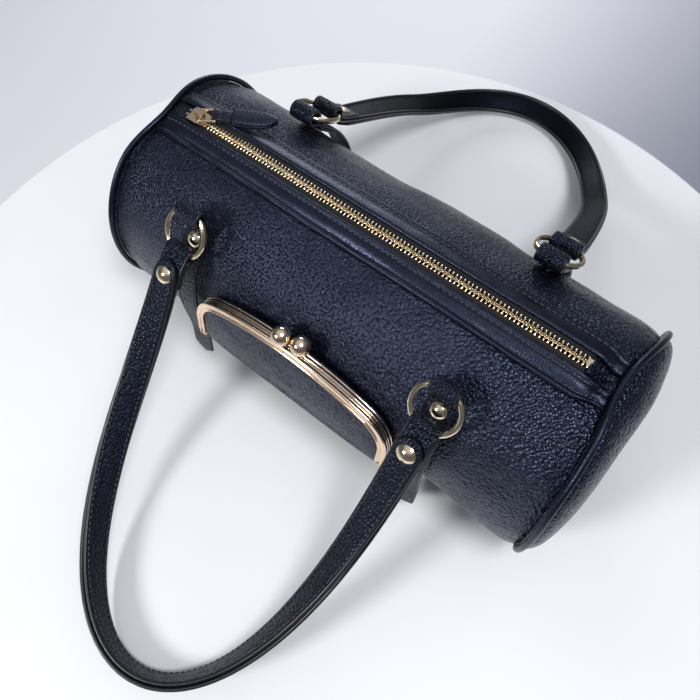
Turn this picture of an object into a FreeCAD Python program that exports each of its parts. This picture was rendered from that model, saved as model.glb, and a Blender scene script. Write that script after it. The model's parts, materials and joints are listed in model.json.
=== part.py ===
import FreeCAD, Part
import math
import os

os.makedirs("parts", exist_ok=True)
V = FreeCAD.Vector

# Barrel, in millimetres and degrees
barrel_length = 261.5
barrel_radius = 62.0
base_sag = 11.0
base_corner_radius = 30.0
end_bulge = 10.0
end_crown_margin = 5.0
end_steps = 6
piping_diameter = 3.2
piping_proud = 0.8
leather = 1.8
lining_thickness = 0.8

# Clearances
layer_gap = 0.1
soft_gap = 0.4
pin_gap = 0.12
metal_gap = 0.3

# Zip
zip_start_margin = 15.3
zip_end_margin = 19.8
zip_slot_half = 8.0
tape_inner = 1.9
tape_outer = 13.0
tape_thickness = 0.5
facing_inner = 5.0
facing_outer = 14.0
facing_thickness = 1.2
tooth_pitch = 2.0
tooth_width = 0.9
tooth_height = 2.2
tooth_reach = 0.8
tooth_taper = 0.4
tooth_bead = 0.7
stop_length = 1.8
slider_margin = 8.5
slider_length = 11.5
slider_width = 8.6
slider_tail_width = 6.6
slider_plate = 1.0
slider_wall = 0.9
slider_post_length = 2.4
slider_post_width = 1.6
bridge_length = 6.4
bridge_height = 3.4
bridge_width = 2.0
bridge_bar = 1.0

# Zip pull
pull_yaw = 33.0
pull_pitch = 6.5
bail_wire = 1.4
bail_length = 8.2
bail_width = 9.0
pull_leather = 1.0
pull_neck_width = 5.4
pull_neck_length = 8.0
pull_leaf_width = 10.6
pull_leaf_length = 22.0

# Rings, chapes and rivets
pocket_to_chape = 4.5
ring_inside = 20.0
ring_wire = 2.7
front_ring_slope = 52.0
rear_ring_slope = 31.0
chape_width = 14.0
chape_leather = 1.6
front_leave_angle = 47.5
front_lift_angle = 76.0
rear_leave_angle = 47.5
rear_lift_angle = 40.0
chape_lift_radius = 3.0
chape_stand = 9.0
chape_close_angle = 55.0
chape_close_radius = 4.0
chape_lap_angle = 11.0
chape_tail_height = 9.0
chape_point = 5.0
strap_cap_diameter = 9.4
strap_cap_height = 2.2
chape_cap_diameter = 8.0
chape_cap_height = 1.8
rivet_back_diameter = 7.0
rivet_back_height = 0.9
rivet_stem_diameter = 2.6

# Handles
strap_width = 15.0
strap_base = 2.0
strap_face = 2.2
face_margin = 0.4
front_slope = 50.0
front_run_share = 0.015
front_reach = 185.5
front_roundness = 2.67
front_lean = 13.8
front_lean_power = 2.2
front_twist = 82.0
rear_slope = 35.0
rear_run_share = 0.675
rear_reach = 180.0
rear_roundness = 3.3
rear_lean = 13.6
rear_lean_power = 1.0
rear_twist = 37.5
handle_steps = 30
strap_close_angle = 70.0
strap_close_radius = 3.0
strap_lap_margin = 5.5
front_rivet_reach = 12.0
rear_rivet_reach = 16.0
floor_gap = 0.3

# Kiss-lock pocket
frame_tilt = 11.5
frame_foot_height = 49.0
frame_half_width = 60.0
frame_rise = 39.0
frame_corner_radius = 20.0
frame_crown_radius = 160.0
frame_band = 4.4
frame_depth = 2.9
frame_groove = 0.6
frame_groove_depth = 0.5
lug_radius = 2.8
lug_thickness = 1.2
hinge_pin_diameter = 2.0
hinge_head_diameter = 3.6
hinge_head_height = 0.8
clasp_ball_diameter = 9.8
clasp_stem_diameter = 2.6
clasp_lean = 0.8
pocket_leather = 1.2
pouch_inset = 5.0
pouch_bottom_height = 19.0
pouch_drop = 2.8
pouch_front = 7.0
pouch_belly = 4.0
pouch_corner = 18.0

# Derived sizes of the barrel
half_turn = 180.0
quarter_turn = 90.0
barrel_height = 2 * barrel_radius - base_sag
axis_height = barrel_height - barrel_radius
piping_radius = piping_diameter / 2
panel_end = barrel_length / 2 - piping_radius - layer_gap
lining_end = barrel_length / 2 - leather - layer_gap
lining_offset = leather + layer_gap
zip_start = zip_start_margin - barrel_length / 2
zip_end = barrel_length / 2 - zip_end_margin
slider_position = zip_start + slider_margin
ring_spacing = 2 * (frame_half_width + pocket_to_chape) + chape_width
pouch_half_width = frame_half_width - pouch_inset
crest = V(0, 0, axis_height)
UP = V(0, 0, 1)
ALONG = V(1, 0, 0)
OUT = V(0, 1, 0)


def save(shape, node):
    shape.exportStep("parts/" + node + ".step")


def aim(angle):
    turn = math.radians(angle)
    return V(0, math.cos(turn), math.sin(turn))


def turned(shape):
    other = shape.copy()
    other.rotate(V(0, 0, 0), UP, half_turn)
    return other


def moved(shape, step):
    other = shape.copy()
    other.translate(step)
    return other


def line(a, b):
    return Part.LineSegment(a, b).toShape()


def arc(a, b, c):
    return Part.Arc(a, b, c).toShape()


def prism(points, depth):
    loop = Part.makePolygon(points + [points[0]])
    return Part.Face(loop).extrude(depth)


def block(x0, x1, y0, y1, z0, z1):
    return Part.makeBox(x1 - x0, y1 - y0, z1 - z0, V(x0, y0, z0))


def rod(a, b, radius):
    return Part.makeCylinder(radius, (b - a).Length, a, b - a)


def section_wire(x, radius, corner, base):
    """Barrel section at x: a round top, two tangent corners and a flat base."""
    centre_z = base + corner
    centre_y = math.sqrt((radius - corner) ** 2 - (axis_height - centre_z) ** 2)
    low = V(0, centre_y, centre_z - axis_height)
    low.normalize()
    middle = low + V(0, 0, -1)
    middle.normalize()
    top = V(x, 0, axis_height)
    right = V(x, centre_y, centre_z)
    right_join = top + low * radius
    right_mid = right + middle * corner
    right_base = V(x, centre_y, base)
    flip = [V(p.x, -p.y, p.z) for p in (right_join, right_mid, right_base)]
    edges = [
        arc(right_join, top + UP * radius, flip[0]),
        arc(flip[0], flip[1], flip[2]),
        line(flip[2], right_base),
        arc(right_base, right_mid, right_join),
    ]
    return Part.Wire(edges)


def skin_wire(x, offset):
    """Barrel section offset outward from the leather's outer face."""
    return section_wire(x, barrel_radius + offset, base_corner_radius + offset, -offset)


def barrel_core(reach, offset):
    return Part.Face(skin_wire(-reach, offset)).extrude(V(2 * reach, 0, 0))


def crest_point(radius, angle):
    turn = math.radians(angle)
    return crest + V(0, radius * math.sin(turn), radius * math.cos(turn))


def side_angle(distance):
    return math.degrees(math.asin(distance / barrel_radius))


def crest_strip(inner, outer, near, far, x0, x1):
    """Strip bent over the crest between two heights and two sideways distances."""
    a = side_angle(near)
    b = side_angle(far)
    m = (a + b) / 2
    edges = [
        arc(crest_point(outer, a), crest_point(outer, m), crest_point(outer, b)),
        line(crest_point(outer, b), crest_point(inner, b)),
        arc(crest_point(inner, b), crest_point(inner, m), crest_point(inner, a)),
        line(crest_point(inner, a), crest_point(outer, a)),
    ]
    face = Part.Face(Part.Wire(edges))
    face.translate(V(x0, 0, 0))
    return face.extrude(V(x1 - x0, 0, 0))


def strip_face(point, heading, moves, thickness):
    """Edge-on outline of a leather strip that runs straight or turns about a radius."""
    half = thickness / 2
    left = []
    right = []
    start = point
    first = aim(heading + quarter_turn) * half
    for size, turn in moves:
        side = aim(heading + quarter_turn)
        if turn == 0:
            stop = start + aim(heading) * size
            left.append(line(start + side * half, stop + side * half))
            right.append(line(start - side * half, stop - side * half))
        else:
            hand = math.copysign(1, turn)
            centre = start + side * (hand * size)
            spokes = [aim(heading + quarter_turn + turn * k / 2) for k in range(3)]
            stop = centre - spokes[2] * (hand * size)
            near = [centre - s * (hand * size - half) for s in spokes]
            far = [centre - s * (hand * size + half) for s in spokes]
            left.append(arc(*near))
            right.append(arc(*far))
            heading = heading + turn
        start = stop
    last = aim(heading + quarter_turn) * half
    right.reverse()
    edges = left + [line(start + last, start - last)] + right
    edges.append(line(point - first, point + first))
    return Part.Face(Part.Wire(Part.sortEdges(edges)[0]))


def wide_strip(point, heading, moves, thickness, width):
    face = strip_face(point, heading, moves, thickness)
    face.translate(V(-width / 2, 0, 0))
    return face.extrude(V(width, 0, 0))


def dome(radius, height):
    """Low round cap standing on the origin."""
    sphere = (radius ** 2 + height ** 2) / (2 * height)
    middle = math.asin(radius / sphere) / 2
    low = sphere - height
    rim = V(radius, 0, 0)
    shoulder = V(sphere * math.sin(middle), 0, sphere * math.cos(middle) - low)
    top = UP * height
    wire = Part.Wire([arc(rim, shoulder, top), line(top, V(0, 0, 0)), line(V(0, 0, 0), rim)])
    return Part.Face(wire).revolve(V(0, 0, 0), UP, 2 * half_turn)


def rivet(point, axis, grip, cap_diameter, cap_height):
    """Domed cap on the point, stem through the grip and a flat cap behind."""
    cap = dome(cap_diameter / 2, cap_height)
    stem = rod(UP * -grip, UP * rivet_back_height, rivet_stem_diameter / 2)
    back = dome(rivet_back_diameter / 2, rivet_back_height)
    back.rotate(V(0, 0, 0), ALONG, half_turn)
    back.translate(UP * -grip)
    shape = cap.fuse([stem, back]).removeSplitter()
    shape.Placement = FreeCAD.Placement(point, FreeCAD.Rotation(UP, axis))
    return shape


def stem_hole(point, axis, depth):
    radius = rivet_stem_diameter / 2 + pin_gap
    return rod(point + axis * strap_cap_height, point - axis * depth, radius)


# Rings and the axes that their leather loops turn on
ring_mean = (ring_inside + ring_wire) / 2
ring_outer = ring_inside / 2 + ring_wire


def bore_reach(width):
    return math.sqrt((ring_inside / 2) ** 2 - (width / 2) ** 2)


def bore_axis(width):
    return (ring_outer + bore_reach(width)) / 2


def bore_radius(width):
    return (ring_outer - bore_reach(width)) / 2 + metal_gap


# Chape: tail up the barrel, rivet, stand, loop round the ring and lap behind
chape_step = chape_leather + layer_gap
chape_run = barrel_radius + layer_gap + chape_step + chape_leather / 2
chape_loop = bore_radius(chape_width) + chape_leather / 2
close_turn = math.radians(chape_close_angle)
close_drop = chape_close_radius * (1 - math.cos(close_turn))
close_run = (chape_loop * (1 + math.cos(close_turn)) - close_drop - chape_step) / math.sin(close_turn)
close_length = (chape_loop + chape_close_radius) * math.sin(close_turn) + close_run * math.cos(close_turn)
chape_foot = V(0, chape_run, chape_tail_height)
back_sag = (rivet_back_diameter / 2) ** 2 / (2 * (barrel_radius - lining_offset - lining_thickness))
chape_depth = chape_run + chape_leather / 2 + pin_gap - barrel_radius
chape_grip = chape_depth + lining_offset + lining_thickness + back_sag + layer_gap
rivet_margin = math.degrees((chape_cap_diameter / 2) / chape_run)
ring_side = ALONG * (ring_spacing / 2)


def chape_fold(leave, lift):
    """Middle of the chape's loop, where the ring turns, for one leave and lift angle."""
    leave_heading = quarter_turn + leave
    stand_heading = leave_heading - lift
    lift_start = crest + aim(leave) * chape_run
    lift_centre = lift_start - aim(leave_heading + quarter_turn) * chape_lift_radius
    lift_end = lift_centre + aim(stand_heading + quarter_turn) * chape_lift_radius
    return lift_end + aim(stand_heading) * chape_stand + aim(stand_heading + quarter_turn) * chape_loop


def chape_strip(leave, lift):
    """Whole chape with its tail cut to a point."""
    moves = [
        (axis_height - chape_tail_height, 0),
        (chape_run, leave),
        (chape_lift_radius, -lift),
        (chape_stand, 0),
        (chape_loop, half_turn + chape_close_angle),
        (close_run, 0),
        (chape_close_radius, -chape_close_angle),
        (chape_stand - close_length, 0),
        (chape_lift_radius + chape_step, lift),
        (chape_run - chape_step, -chape_lap_angle),
    ]
    strip = wide_strip(chape_foot, quarter_turn, moves, chape_leather, chape_width)
    half = chape_width / 2
    inner = V(0, chape_foot.y - chape_leather, chape_foot.z - chape_leather)
    for hand in (1, -1):
        corner = inner + ALONG * (hand * (half + chape_leather))
        rise = chape_point * (half + chape_leather) / half + chape_leather
        wedge = [inner + UP * chape_leather, corner + UP * rise, corner, inner]
        strip = strip.cut(prism(wedge, OUT * (2 * chape_leather)))
    return strip


def ring_middle(fold, slope):
    return fold + aim(-slope) * bore_axis(chape_width)


def handle_axis(fold, slope):
    return ring_middle(fold, slope) + aim(-slope) * bore_axis(strap_width)


rear_fold = chape_fold(rear_leave_angle, rear_lift_angle)
front_fold = chape_fold(front_leave_angle, front_lift_angle)
rear_axis = handle_axis(rear_fold, rear_ring_slope)
front_axis = handle_axis(front_fold, front_ring_slope)
holes = []
for end, leave, lift, fold, slope in (
    ("rear", rear_leave_angle, rear_lift_angle, rear_fold, rear_ring_slope),
    ("front", front_leave_angle, front_lift_angle, front_fold, front_ring_slope),
):
    axis = aim(leave - rivet_margin)
    seat = crest + axis * (chape_run + chape_leather / 2 + pin_gap)
    strip = chape_strip(leave, lift).cut(stem_hole(seat, axis, chape_grip))
    stud = rivet(seat, axis, chape_grip, chape_cap_diameter, chape_cap_height)
    ring = Part.makeTorus(ring_mean, ring_wire / 2, ring_middle(fold, slope), aim(quarter_turn - slope))
    drill = stem_hole(seat, axis, 2 * chape_grip)
    for side, shift in (("right", ring_side), ("left", -ring_side)):
        for piece, name in ((strip, "chape"), (stud, "chape_rivet"), (ring, "handle_ring")):
            placed = moved(piece, shift) if end == "rear" else turned(moved(piece, -shift))
            save(placed, name + "_" + end + "_" + side)
        holes.append(moved(drill, shift) if end == "rear" else turned(moved(drill, shift)))

# Barrel panel and lining, both open along the zip
slot = block(zip_start, zip_end, -zip_slot_half, zip_slot_half, axis_height, barrel_height + leather)
panel = barrel_core(panel_end, 0).cut(barrel_core(barrel_length, -leather))
save(panel.cut([slot] + holes), "body_panel")
lining_slot_half = zip_slot_half + leather
lining_slot = block(zip_start, zip_end, -lining_slot_half, lining_slot_half, axis_height, barrel_height)
lining_shell = barrel_core(lining_end, -lining_offset)
lining_room = barrel_core(lining_end - lining_thickness, -lining_offset - lining_thickness)
save(lining_shell.cut(lining_room).cut([lining_slot] + holes), "lining")

# Piping round each end seam, flat on the floor under the base
piping_run = barrel_radius + piping_proud - piping_radius


def seam_wire(x, offset):
    """End seam section offset outward from the middle of the piping."""
    return section_wire(x, piping_run + offset, base_corner_radius + offset, piping_radius - offset)


piping_path = seam_wire(barrel_length / 2, 0)
base_edge = piping_path.Edges[2]
pieces = [rod(base_edge.Vertexes[0].Point, base_edge.Vertexes[1].Point, piping_radius)]
for k in (0, 1, 3):
    bend = piping_path.Edges[k]
    begin = bend.valueAt(bend.FirstParameter)
    disc = Part.Face(Part.Wire(Part.makeCircle(piping_radius, begin, bend.tangentAt(bend.FirstParameter))))
    sweep = math.degrees(bend.LastParameter - bend.FirstParameter)
    pieces.append(disc.revolve(bend.Curve.Center, bend.Curve.Axis, sweep))
piping = pieces[0].fuse(pieces[1:]).removeSplitter()
save(piping, "piping_right")
save(turned(piping), "piping_left")

# Domed end panels inside the piping
rim_offset = -piping_radius - layer_gap
crown_offset = end_crown_margin - base_corner_radius
dome_wires = [seam_wire(barrel_length / 2 - leather, rim_offset)]
for k in range(end_steps + 1):
    part_way = k / end_steps
    height = end_bulge * math.sqrt(1 - (1 - part_way) ** 2)
    offset = rim_offset + (crown_offset - rim_offset) * part_way
    dome_wires.append(seam_wire(barrel_length / 2 + height, offset))
swell = Part.makeLoft(dome_wires, True, True)
end_panel = swell.cut(moved(swell, ALONG * -leather))
save(end_panel, "end_panel_right")
save(turned(end_panel), "end_panel_left")

# Zip tapes, facing strips and leather end pieces
tape_low = barrel_radius + layer_gap
tape_high = tape_low + tape_thickness
facing_low = tape_high + layer_gap
facing_high = facing_low + facing_thickness
tape_rear = crest_strip(tape_low, tape_high, tape_inner, tape_outer, zip_start, zip_end)
facing_rear = crest_strip(facing_low, facing_high, facing_inner, facing_outer, -panel_end, panel_end)
save(tape_rear, "zip_tape_rear")
save(tape_rear.mirror(V(0, 0, 0), OUT), "zip_tape_front")
save(facing_rear, "zip_facing_rear")
save(facing_rear.mirror(V(0, 0, 0), OUT), "zip_facing_front")
cover = facing_inner - soft_gap
cover_high = tape_low + facing_thickness
save(crest_strip(tape_low, cover_high, -cover, cover, -panel_end, zip_start - layer_gap), "zip_end_left")
save(crest_strip(tape_low, cover_high, -cover, cover, zip_end + layer_gap, panel_end), "zip_end_right")

# Slider round the chain, with the post that parts the two rows
chain_middle = axis_height + (tape_low + tape_high) / 2
plate_low = tooth_height / 2 + pin_gap
slider_front = slider_length / 2


def slider_outline(inset, height):
    wide = slider_width / 2 - inset
    narrow = slider_tail_width / 2 - inset
    points = [V(-slider_front, -wide, 0), V(0, -wide, 0), V(slider_front, -narrow, 0)]
    points = points + [V(p.x, -p.y, 0) for p in reversed(points)]
    return prism(points, UP * height)


plate = slider_outline(0, slider_plate)
wall_height = plate_low - tape_thickness / 2 - metal_gap
rim = slider_outline(0, wall_height).cut(slider_outline(slider_wall, wall_height))
upper = moved(plate, UP * plate_low).fuse(moved(rim, UP * (plate_low - wall_height)))
lower = upper.mirror(V(0, 0, 0), UP)
post_end = slider_post_length - slider_front
post = block(-slider_front, post_end, -slider_post_width / 2, slider_post_width / 2, -plate_low, plate_low)
plate_top = plate_low + slider_plate
bridge_half = bridge_length / 2
bridge = block(-bridge_half, bridge_half, -bridge_width / 2, bridge_width / 2, 0, bridge_height)
inner_half = bridge_half - bridge_bar
bridge_room = bridge_height - bridge_bar
bridge = bridge.cut(block(-inner_half, inner_half, -bridge_width, bridge_width, 0, bridge_room))
bridge = moved(bridge, UP * plate_top)
slider = upper.fuse([lower, post, bridge]).removeSplitter()
save(moved(slider, V(slider_position, 0, chain_middle)), "zip_slider")

# Teeth rows, each cut from one bead along the tape's edge
row_start = slider_position + post_end + metal_gap
row_end = zip_end - stop_length - 2 * metal_gap
tooth_count = int((row_end - row_start - tooth_pitch) / tooth_pitch)


def teeth(shift):
    bead = tape_inner - tooth_bead
    points = [V(row_end, tape_inner, 0), V(row_start, tape_inner, 0), V(row_start, bead, 0)]
    for k in range(tooth_count):
        middle = row_start + tooth_pitch * (k + 1 / 2) + shift
        half = tooth_width / 2
        points.append(V(middle - half, bead, 0))
        points.append(V(middle - half, tooth_taper - tooth_reach, 0))
        points.append(V(middle - half / 2, -tooth_reach, 0))
        points.append(V(middle + half / 2, -tooth_reach, 0))
        points.append(V(middle + half, tooth_taper - tooth_reach, 0))
        points.append(V(middle + half, bead, 0))
    points.append(V(row_end, bead, 0))
    return moved(prism(points, UP * tooth_height), UP * (chain_middle - tooth_height / 2))


save(teeth(0), "zip_teeth_rear")
save(teeth(tooth_pitch / 2).mirror(V(0, 0, 0), OUT), "zip_teeth_front")
stop_half = tape_inner - layer_gap / 2
stop_low = chain_middle - plate_low
stop_high = chain_middle + plate_low
bottom_stop = block(zip_end - stop_length, zip_end, -stop_half, stop_half, stop_low, stop_high)
save(bottom_stop, "zip_stop_end")
stop_inner = stop_half - tooth_bead - metal_gap
top_stop = block(zip_start, zip_start + stop_length, stop_inner, stop_half, stop_low, stop_high)
save(top_stop, "zip_stop_rear")
save(top_stop.mirror(V(0, 0, 0), OUT), "zip_stop_front")

# Wire bail through the bridge and leather leaf on its far bar
yaw = math.radians(pull_yaw)
pull_way = V(math.cos(yaw), math.sin(yaw), 0)
pull_side = V(-math.sin(yaw), math.cos(yaw), 0)
wire_radius = bail_wire / 2
bail_slack = bridge_room - bail_wire
bail_lift = plate_top + wire_radius + bail_slack / 2
bail_setback = inner_half - wire_radius / math.cos(yaw) - bridge_width / 2 * math.tan(yaw) - metal_gap
bail_pivot = V(slider_position + bail_setback, 0, chain_middle + bail_lift)
pull_bore = wire_radius + metal_gap
pull_roll = pull_bore + pull_leather
leaf_height = axis_height + facing_high + soft_gap + pull_roll
bail_angle = math.asin((leaf_height - bail_pivot.z) / bail_length)
bail_way = pull_way * math.cos(bail_angle) + UP * math.sin(bail_angle)
leaf_pivot = bail_pivot + bail_way * bail_length
bail_half = pull_side * (bail_width / 2 - wire_radius)
corners = [bail_pivot + bail_half, bail_pivot - bail_half, leaf_pivot - bail_half, leaf_pivot + bail_half]
bail = Part.makeSphere(wire_radius, corners[0])
for k in range(len(corners)):
    bail = bail.fuse(rod(corners[k - 1], corners[k], wire_radius))
    bail = bail.fuse(Part.makeSphere(wire_radius, corners[k]))
save(bail, "zip_pull_bail")

neck = pull_neck_width / 2
leaf = pull_leaf_width / 2
leaf_start = pull_neck_length + leaf
leaf_end = leaf_start + pull_leaf_length - leaf
tip = V(leaf_end + leaf, 0, 0)
leaf_edges = [
    line(V(0, -neck, 0), V(pull_neck_length, -neck, 0)),
    line(V(pull_neck_length, -neck, 0), V(leaf_start, -leaf, 0)),
    line(V(leaf_start, -leaf, 0), V(leaf_end, -leaf, 0)),
    arc(V(leaf_end, -leaf, 0), tip, V(leaf_end, leaf, 0)),
    line(V(leaf_end, leaf, 0), V(leaf_start, leaf, 0)),
    line(V(leaf_start, leaf, 0), V(pull_neck_length, neck, 0)),
    line(V(pull_neck_length, neck, 0), V(0, neck, 0)),
    line(V(0, neck, 0), V(0, -neck, 0)),
]
tab = Part.Face(Part.Wire(leaf_edges)).extrude(UP * (2 * pull_leather))
tab = moved(tab, UP * -pull_leather)
tab = tab.fuse(rod(V(0, -neck, 0), V(0, neck, 0), pull_roll))
tab = tab.cut(rod(V(0, -leaf, 0), V(0, leaf, 0), pull_bore)).removeSplitter()
tab.rotate(V(0, 0, 0), OUT, pull_pitch)
tab.rotate(V(0, 0, 0), UP, pull_yaw)
save(moved(tab, leaf_pivot), "zip_pull_tab")

# Handles: each leg leaves its ring along a slope, bends onto the floor and joins in a loop
strap_loop = bore_radius(strap_width) + strap_base / 2
strap_step = strap_base + layer_gap
stack = strap_base / 2 + layer_gap + strap_face


class Route:
    """Shape of one handle's loop, from the ring down its slope and round the floor."""

    def __init__(self, rivet_reach, slope, run_share, reach, roundness, lean, lean_power, twist):
        self.rivet_reach = rivet_reach
        self.straight = rivet_reach + strap_cap_diameter / 2 + layer_gap
        self.slope = slope
        self.run_share = run_share
        self.reach = reach
        self.roundness = roundness
        self.lean = lean
        self.lean_power = lean_power
        self.twist = math.radians(twist)
        edge_drop = strap_width / 2 * math.sin(self.twist)
        self.tip_height = edge_drop + stack * math.cos(self.twist) + floor_gap


def drape(start, route, reach):
    """Point and downward angle of the strap's middle line at a distance from its ring."""
    steep = math.radians(route.slope)
    drop = start.z - route.tip_height
    whole = drop / math.sin(steep)
    down = route.straight + (whole - route.straight) * route.run_share
    bend_radius = (drop - down * math.sin(steep)) / (1 - math.cos(steep))
    first = min(reach, down)
    bend = min(max(reach - down, 0) / bend_radius, steep)
    flat = max(reach - down - bend_radius * steep, 0)
    point = start + aim(-route.slope) * first
    centre = start + aim(-route.slope) * down + aim(quarter_turn - route.slope) * bend_radius
    if bend > 0:
        point = centre - aim(quarter_turn - route.slope + math.degrees(bend)) * bend_radius
    return point + OUT * flat, math.degrees(bend) - route.slope


def strap_sections(start, route, first_reach, low, high, width):
    """Section wires of one strap layer all round the loop, between two heights off its middle."""
    reach_left = route.reach - route.straight
    along_start = math.sin(math.pi / handle_steps / 2)
    stations = [(ring_spacing / 2, first_reach, 0)]
    for k in range(handle_steps + 1):
        angle = math.pi * k / handle_steps
        along = abs(math.sin(angle)) ** (2 / route.roundness)
        x = ring_spacing / 2 * math.cos(angle)
        stations.append((x, route.straight + reach_left * along, along))
    stations.append((-ring_spacing / 2, first_reach, 0))
    points = []
    for x, reach, along in stations:
        point, dip = drape(start, route, reach)
        points.append((point + ALONG * (x - route.lean * along ** route.lean_power), dip, along))
    wires = []
    for k in range(len(points)):
        point, dip, along = points[k]
        normal = aim(quarter_turn + dip)
        if along > along_start:
            tangent = points[k + 1][0] - points[k - 1][0]
        else:
            tangent = aim(dip) * math.copysign(1, point.x)
        tangent = tangent - normal * tangent.dot(normal)
        tangent.normalize()
        outer = tangent.cross(normal)
        roll = route.twist * along
        lift = normal * math.cos(roll) - outer * math.sin(roll)
        side = outer * math.cos(roll) + normal * math.sin(roll)
        half = side * (width / 2)
        loop = [point - half + lift * low, point + half + lift * low]
        loop = loop + [point + half + lift * high, point - half + lift * high]
        wires.append(Part.makePolygon(loop + [loop[0]]))
    return wires


def strap_layer(start, route, first_reach, low, high, width):
    return Part.makeLoft(strap_sections(start, route, first_reach, low, high, width), True, True)


def handle(axis, route, face):
    """Base strap, face strap and rivet, with the face strap above (1) or below (-1)."""
    out = aim(-route.slope)
    normal = aim(quarter_turn - route.slope) * face
    start = axis + normal * strap_loop
    base = strap_layer(start, route, 0, -strap_base / 2, strap_base / 2, strap_width)
    closing = math.radians(strap_close_angle)
    rise = strap_loop - strap_step + strap_loop * math.cos(closing)
    rise = rise - strap_close_radius * (1 - math.cos(closing))
    close = rise / math.sin(closing)
    used = (strap_loop + strap_close_radius) * math.sin(closing) + close * math.cos(closing)
    moves = [
        (strap_loop, face * (half_turn + strap_close_angle)),
        (close, 0),
        (strap_close_radius, -face * strap_close_angle),
        (route.rivet_reach + strap_lap_margin - used, 0),
    ]
    roll = wide_strip(start, half_turn - route.slope, moves, strap_base, strap_width)
    seat = start + out * route.rivet_reach + normal * stack
    grip = stack + strap_step + strap_base / 2
    hole = stem_hole(seat, normal, 2 * grip)
    drills = [moved(hole, ring_side), moved(hole, -ring_side)]
    base = base.fuse([moved(roll, ring_side), moved(roll, -ring_side)]).removeSplitter().cut(drills)
    low = strap_base / 2 + layer_gap
    high = low + strap_face
    width = strap_width - 2 * face_margin
    heights = (low, high) if face > 0 else (-high, -low)
    cover = strap_layer(start, route, route.rivet_reach, heights[0], heights[1], width)
    middle = start + out * route.rivet_reach + normal * low
    rims = [middle - ALONG * (width / 2), middle - out * (width / 2), middle + ALONG * (width / 2)]
    cap = Part.Face(Part.Wire([arc(*rims), line(rims[2], rims[0])])).extrude(normal * strap_face)
    cover = cover.fuse([moved(cap, ring_side), moved(cap, -ring_side)]).removeSplitter().cut(drills)
    return base, cover, rivet(seat, normal, grip, strap_cap_diameter, strap_cap_height)


rear_drape = (rear_slope, rear_run_share, rear_reach, rear_roundness)
rear_route = Route(rear_rivet_reach, *rear_drape, rear_lean, rear_lean_power, rear_twist)
base, cover, pin = handle(rear_axis, rear_route, -1)
save(base, "handle_rear_base")
save(cover, "handle_rear_face")
save(moved(pin, ring_side), "handle_rivet_rear_right")
save(moved(pin, -ring_side), "handle_rivet_rear_left")
front_drape = (front_slope, front_run_share, front_reach, front_roundness)
front_route = Route(front_rivet_reach, *front_drape, front_lean, front_lean_power, front_twist)
base, cover, pin = handle(front_axis, front_route, 1)
save(turned(base), "handle_front_base")
save(turned(cover), "handle_front_face")
save(turned(moved(pin, -ring_side)), "handle_rivet_front_right")
save(turned(moved(pin, ring_side)), "handle_rivet_front_left")

# Kiss-lock pocket, drawn upright in its own frame and then leaned against the barrel front
frame_back = layer_gap + pocket_leather + layer_gap
frame_middle = frame_back + frame_depth + metal_gap / 2


def lean(shape):
    """Put a shape drawn with y outward from the barrel's skin and z up from the hinge in place."""
    other = shape.copy()
    other.rotate(V(0, 0, 0), ALONG, frame_tilt)
    tilt = math.radians(frame_tilt)
    skin = crest + V(0, math.cos(tilt), math.sin(tilt)) * barrel_radius
    rise = (frame_foot_height - skin.z) / math.cos(tilt)
    other.translate(skin + V(0, -math.sin(tilt), math.cos(tilt)) * rise)
    return turned(other)


def arch(inset, foot, y):
    """Closed arch outline in the upright plane at y, set in from the frame's outer edge."""
    wide = frame_half_width - inset
    corner = frame_corner_radius - inset
    crown = frame_crown_radius - inset
    top = frame_rise - inset
    centre_x = wide - corner
    crown_z = top - crown
    corner_z = crown_z + math.sqrt((crown - corner) ** 2 - centre_x ** 2)
    centre = V(centre_x, y, corner_z)
    way = V(centre_x, 0, corner_z - crown_z)
    way.normalize()
    middle = way + ALONG
    middle.normalize()
    joins = [V(wide, y, foot), V(wide, y, corner_z), centre + middle * corner, centre + way * corner]
    flips = [V(-p.x, p.y, p.z) for p in joins]
    edges = [
        line(flips[0], joins[0]),
        line(joins[0], joins[1]),
        arc(joins[1], joins[2], joins[3]),
        arc(joins[3], V(0, y, top), flips[3]),
        arc(flips[3], flips[2], flips[1]),
        line(flips[1], flips[0]),
    ]
    return Part.Face(Part.Wire(edges))


def arch_band(outer, inner, foot, y, depth):
    ring_face = arch(outer, foot, y).extrude(OUT * depth)
    return ring_face.cut(arch(inner, foot - frame_band, y - depth).extrude(OUT * (3 * depth)))


def half_frame(back, front, groove_face, lug_x):
    """One half of the frame with its two hinge lugs."""
    foot = lug_radius + metal_gap
    depth = frame_depth
    band = arch_band(0, frame_band, foot, back, depth)
    groove_inset = (frame_band - frame_groove) / 2
    groove = arch_band(groove_inset, groove_inset + frame_groove, foot, groove_face, frame_groove_depth)
    band = band.cut(groove)
    plates = []
    for hand in (1, -1):
        lug = rod(V(0, frame_middle, 0), V(lug_thickness, frame_middle, 0), lug_radius)
        arm = block(0, lug_thickness, back, front, 0, foot)
        near = min(back, frame_middle)
        far = max(front, frame_middle)
        reach = block(0, lug_thickness, near, far, 0, lug_radius / 2)
        lug = lug.fuse([arm, reach])
        bore = rod(V(-lug_thickness, frame_middle, 0), V(2 * lug_thickness, frame_middle, 0), pin_bore)
        lug = moved(lug.cut(bore), ALONG * lug_x)
        plates.append(lug if hand > 0 else lug.mirror(V(0, 0, 0), ALONG))
    return band.fuse(plates).removeSplitter()


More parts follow.
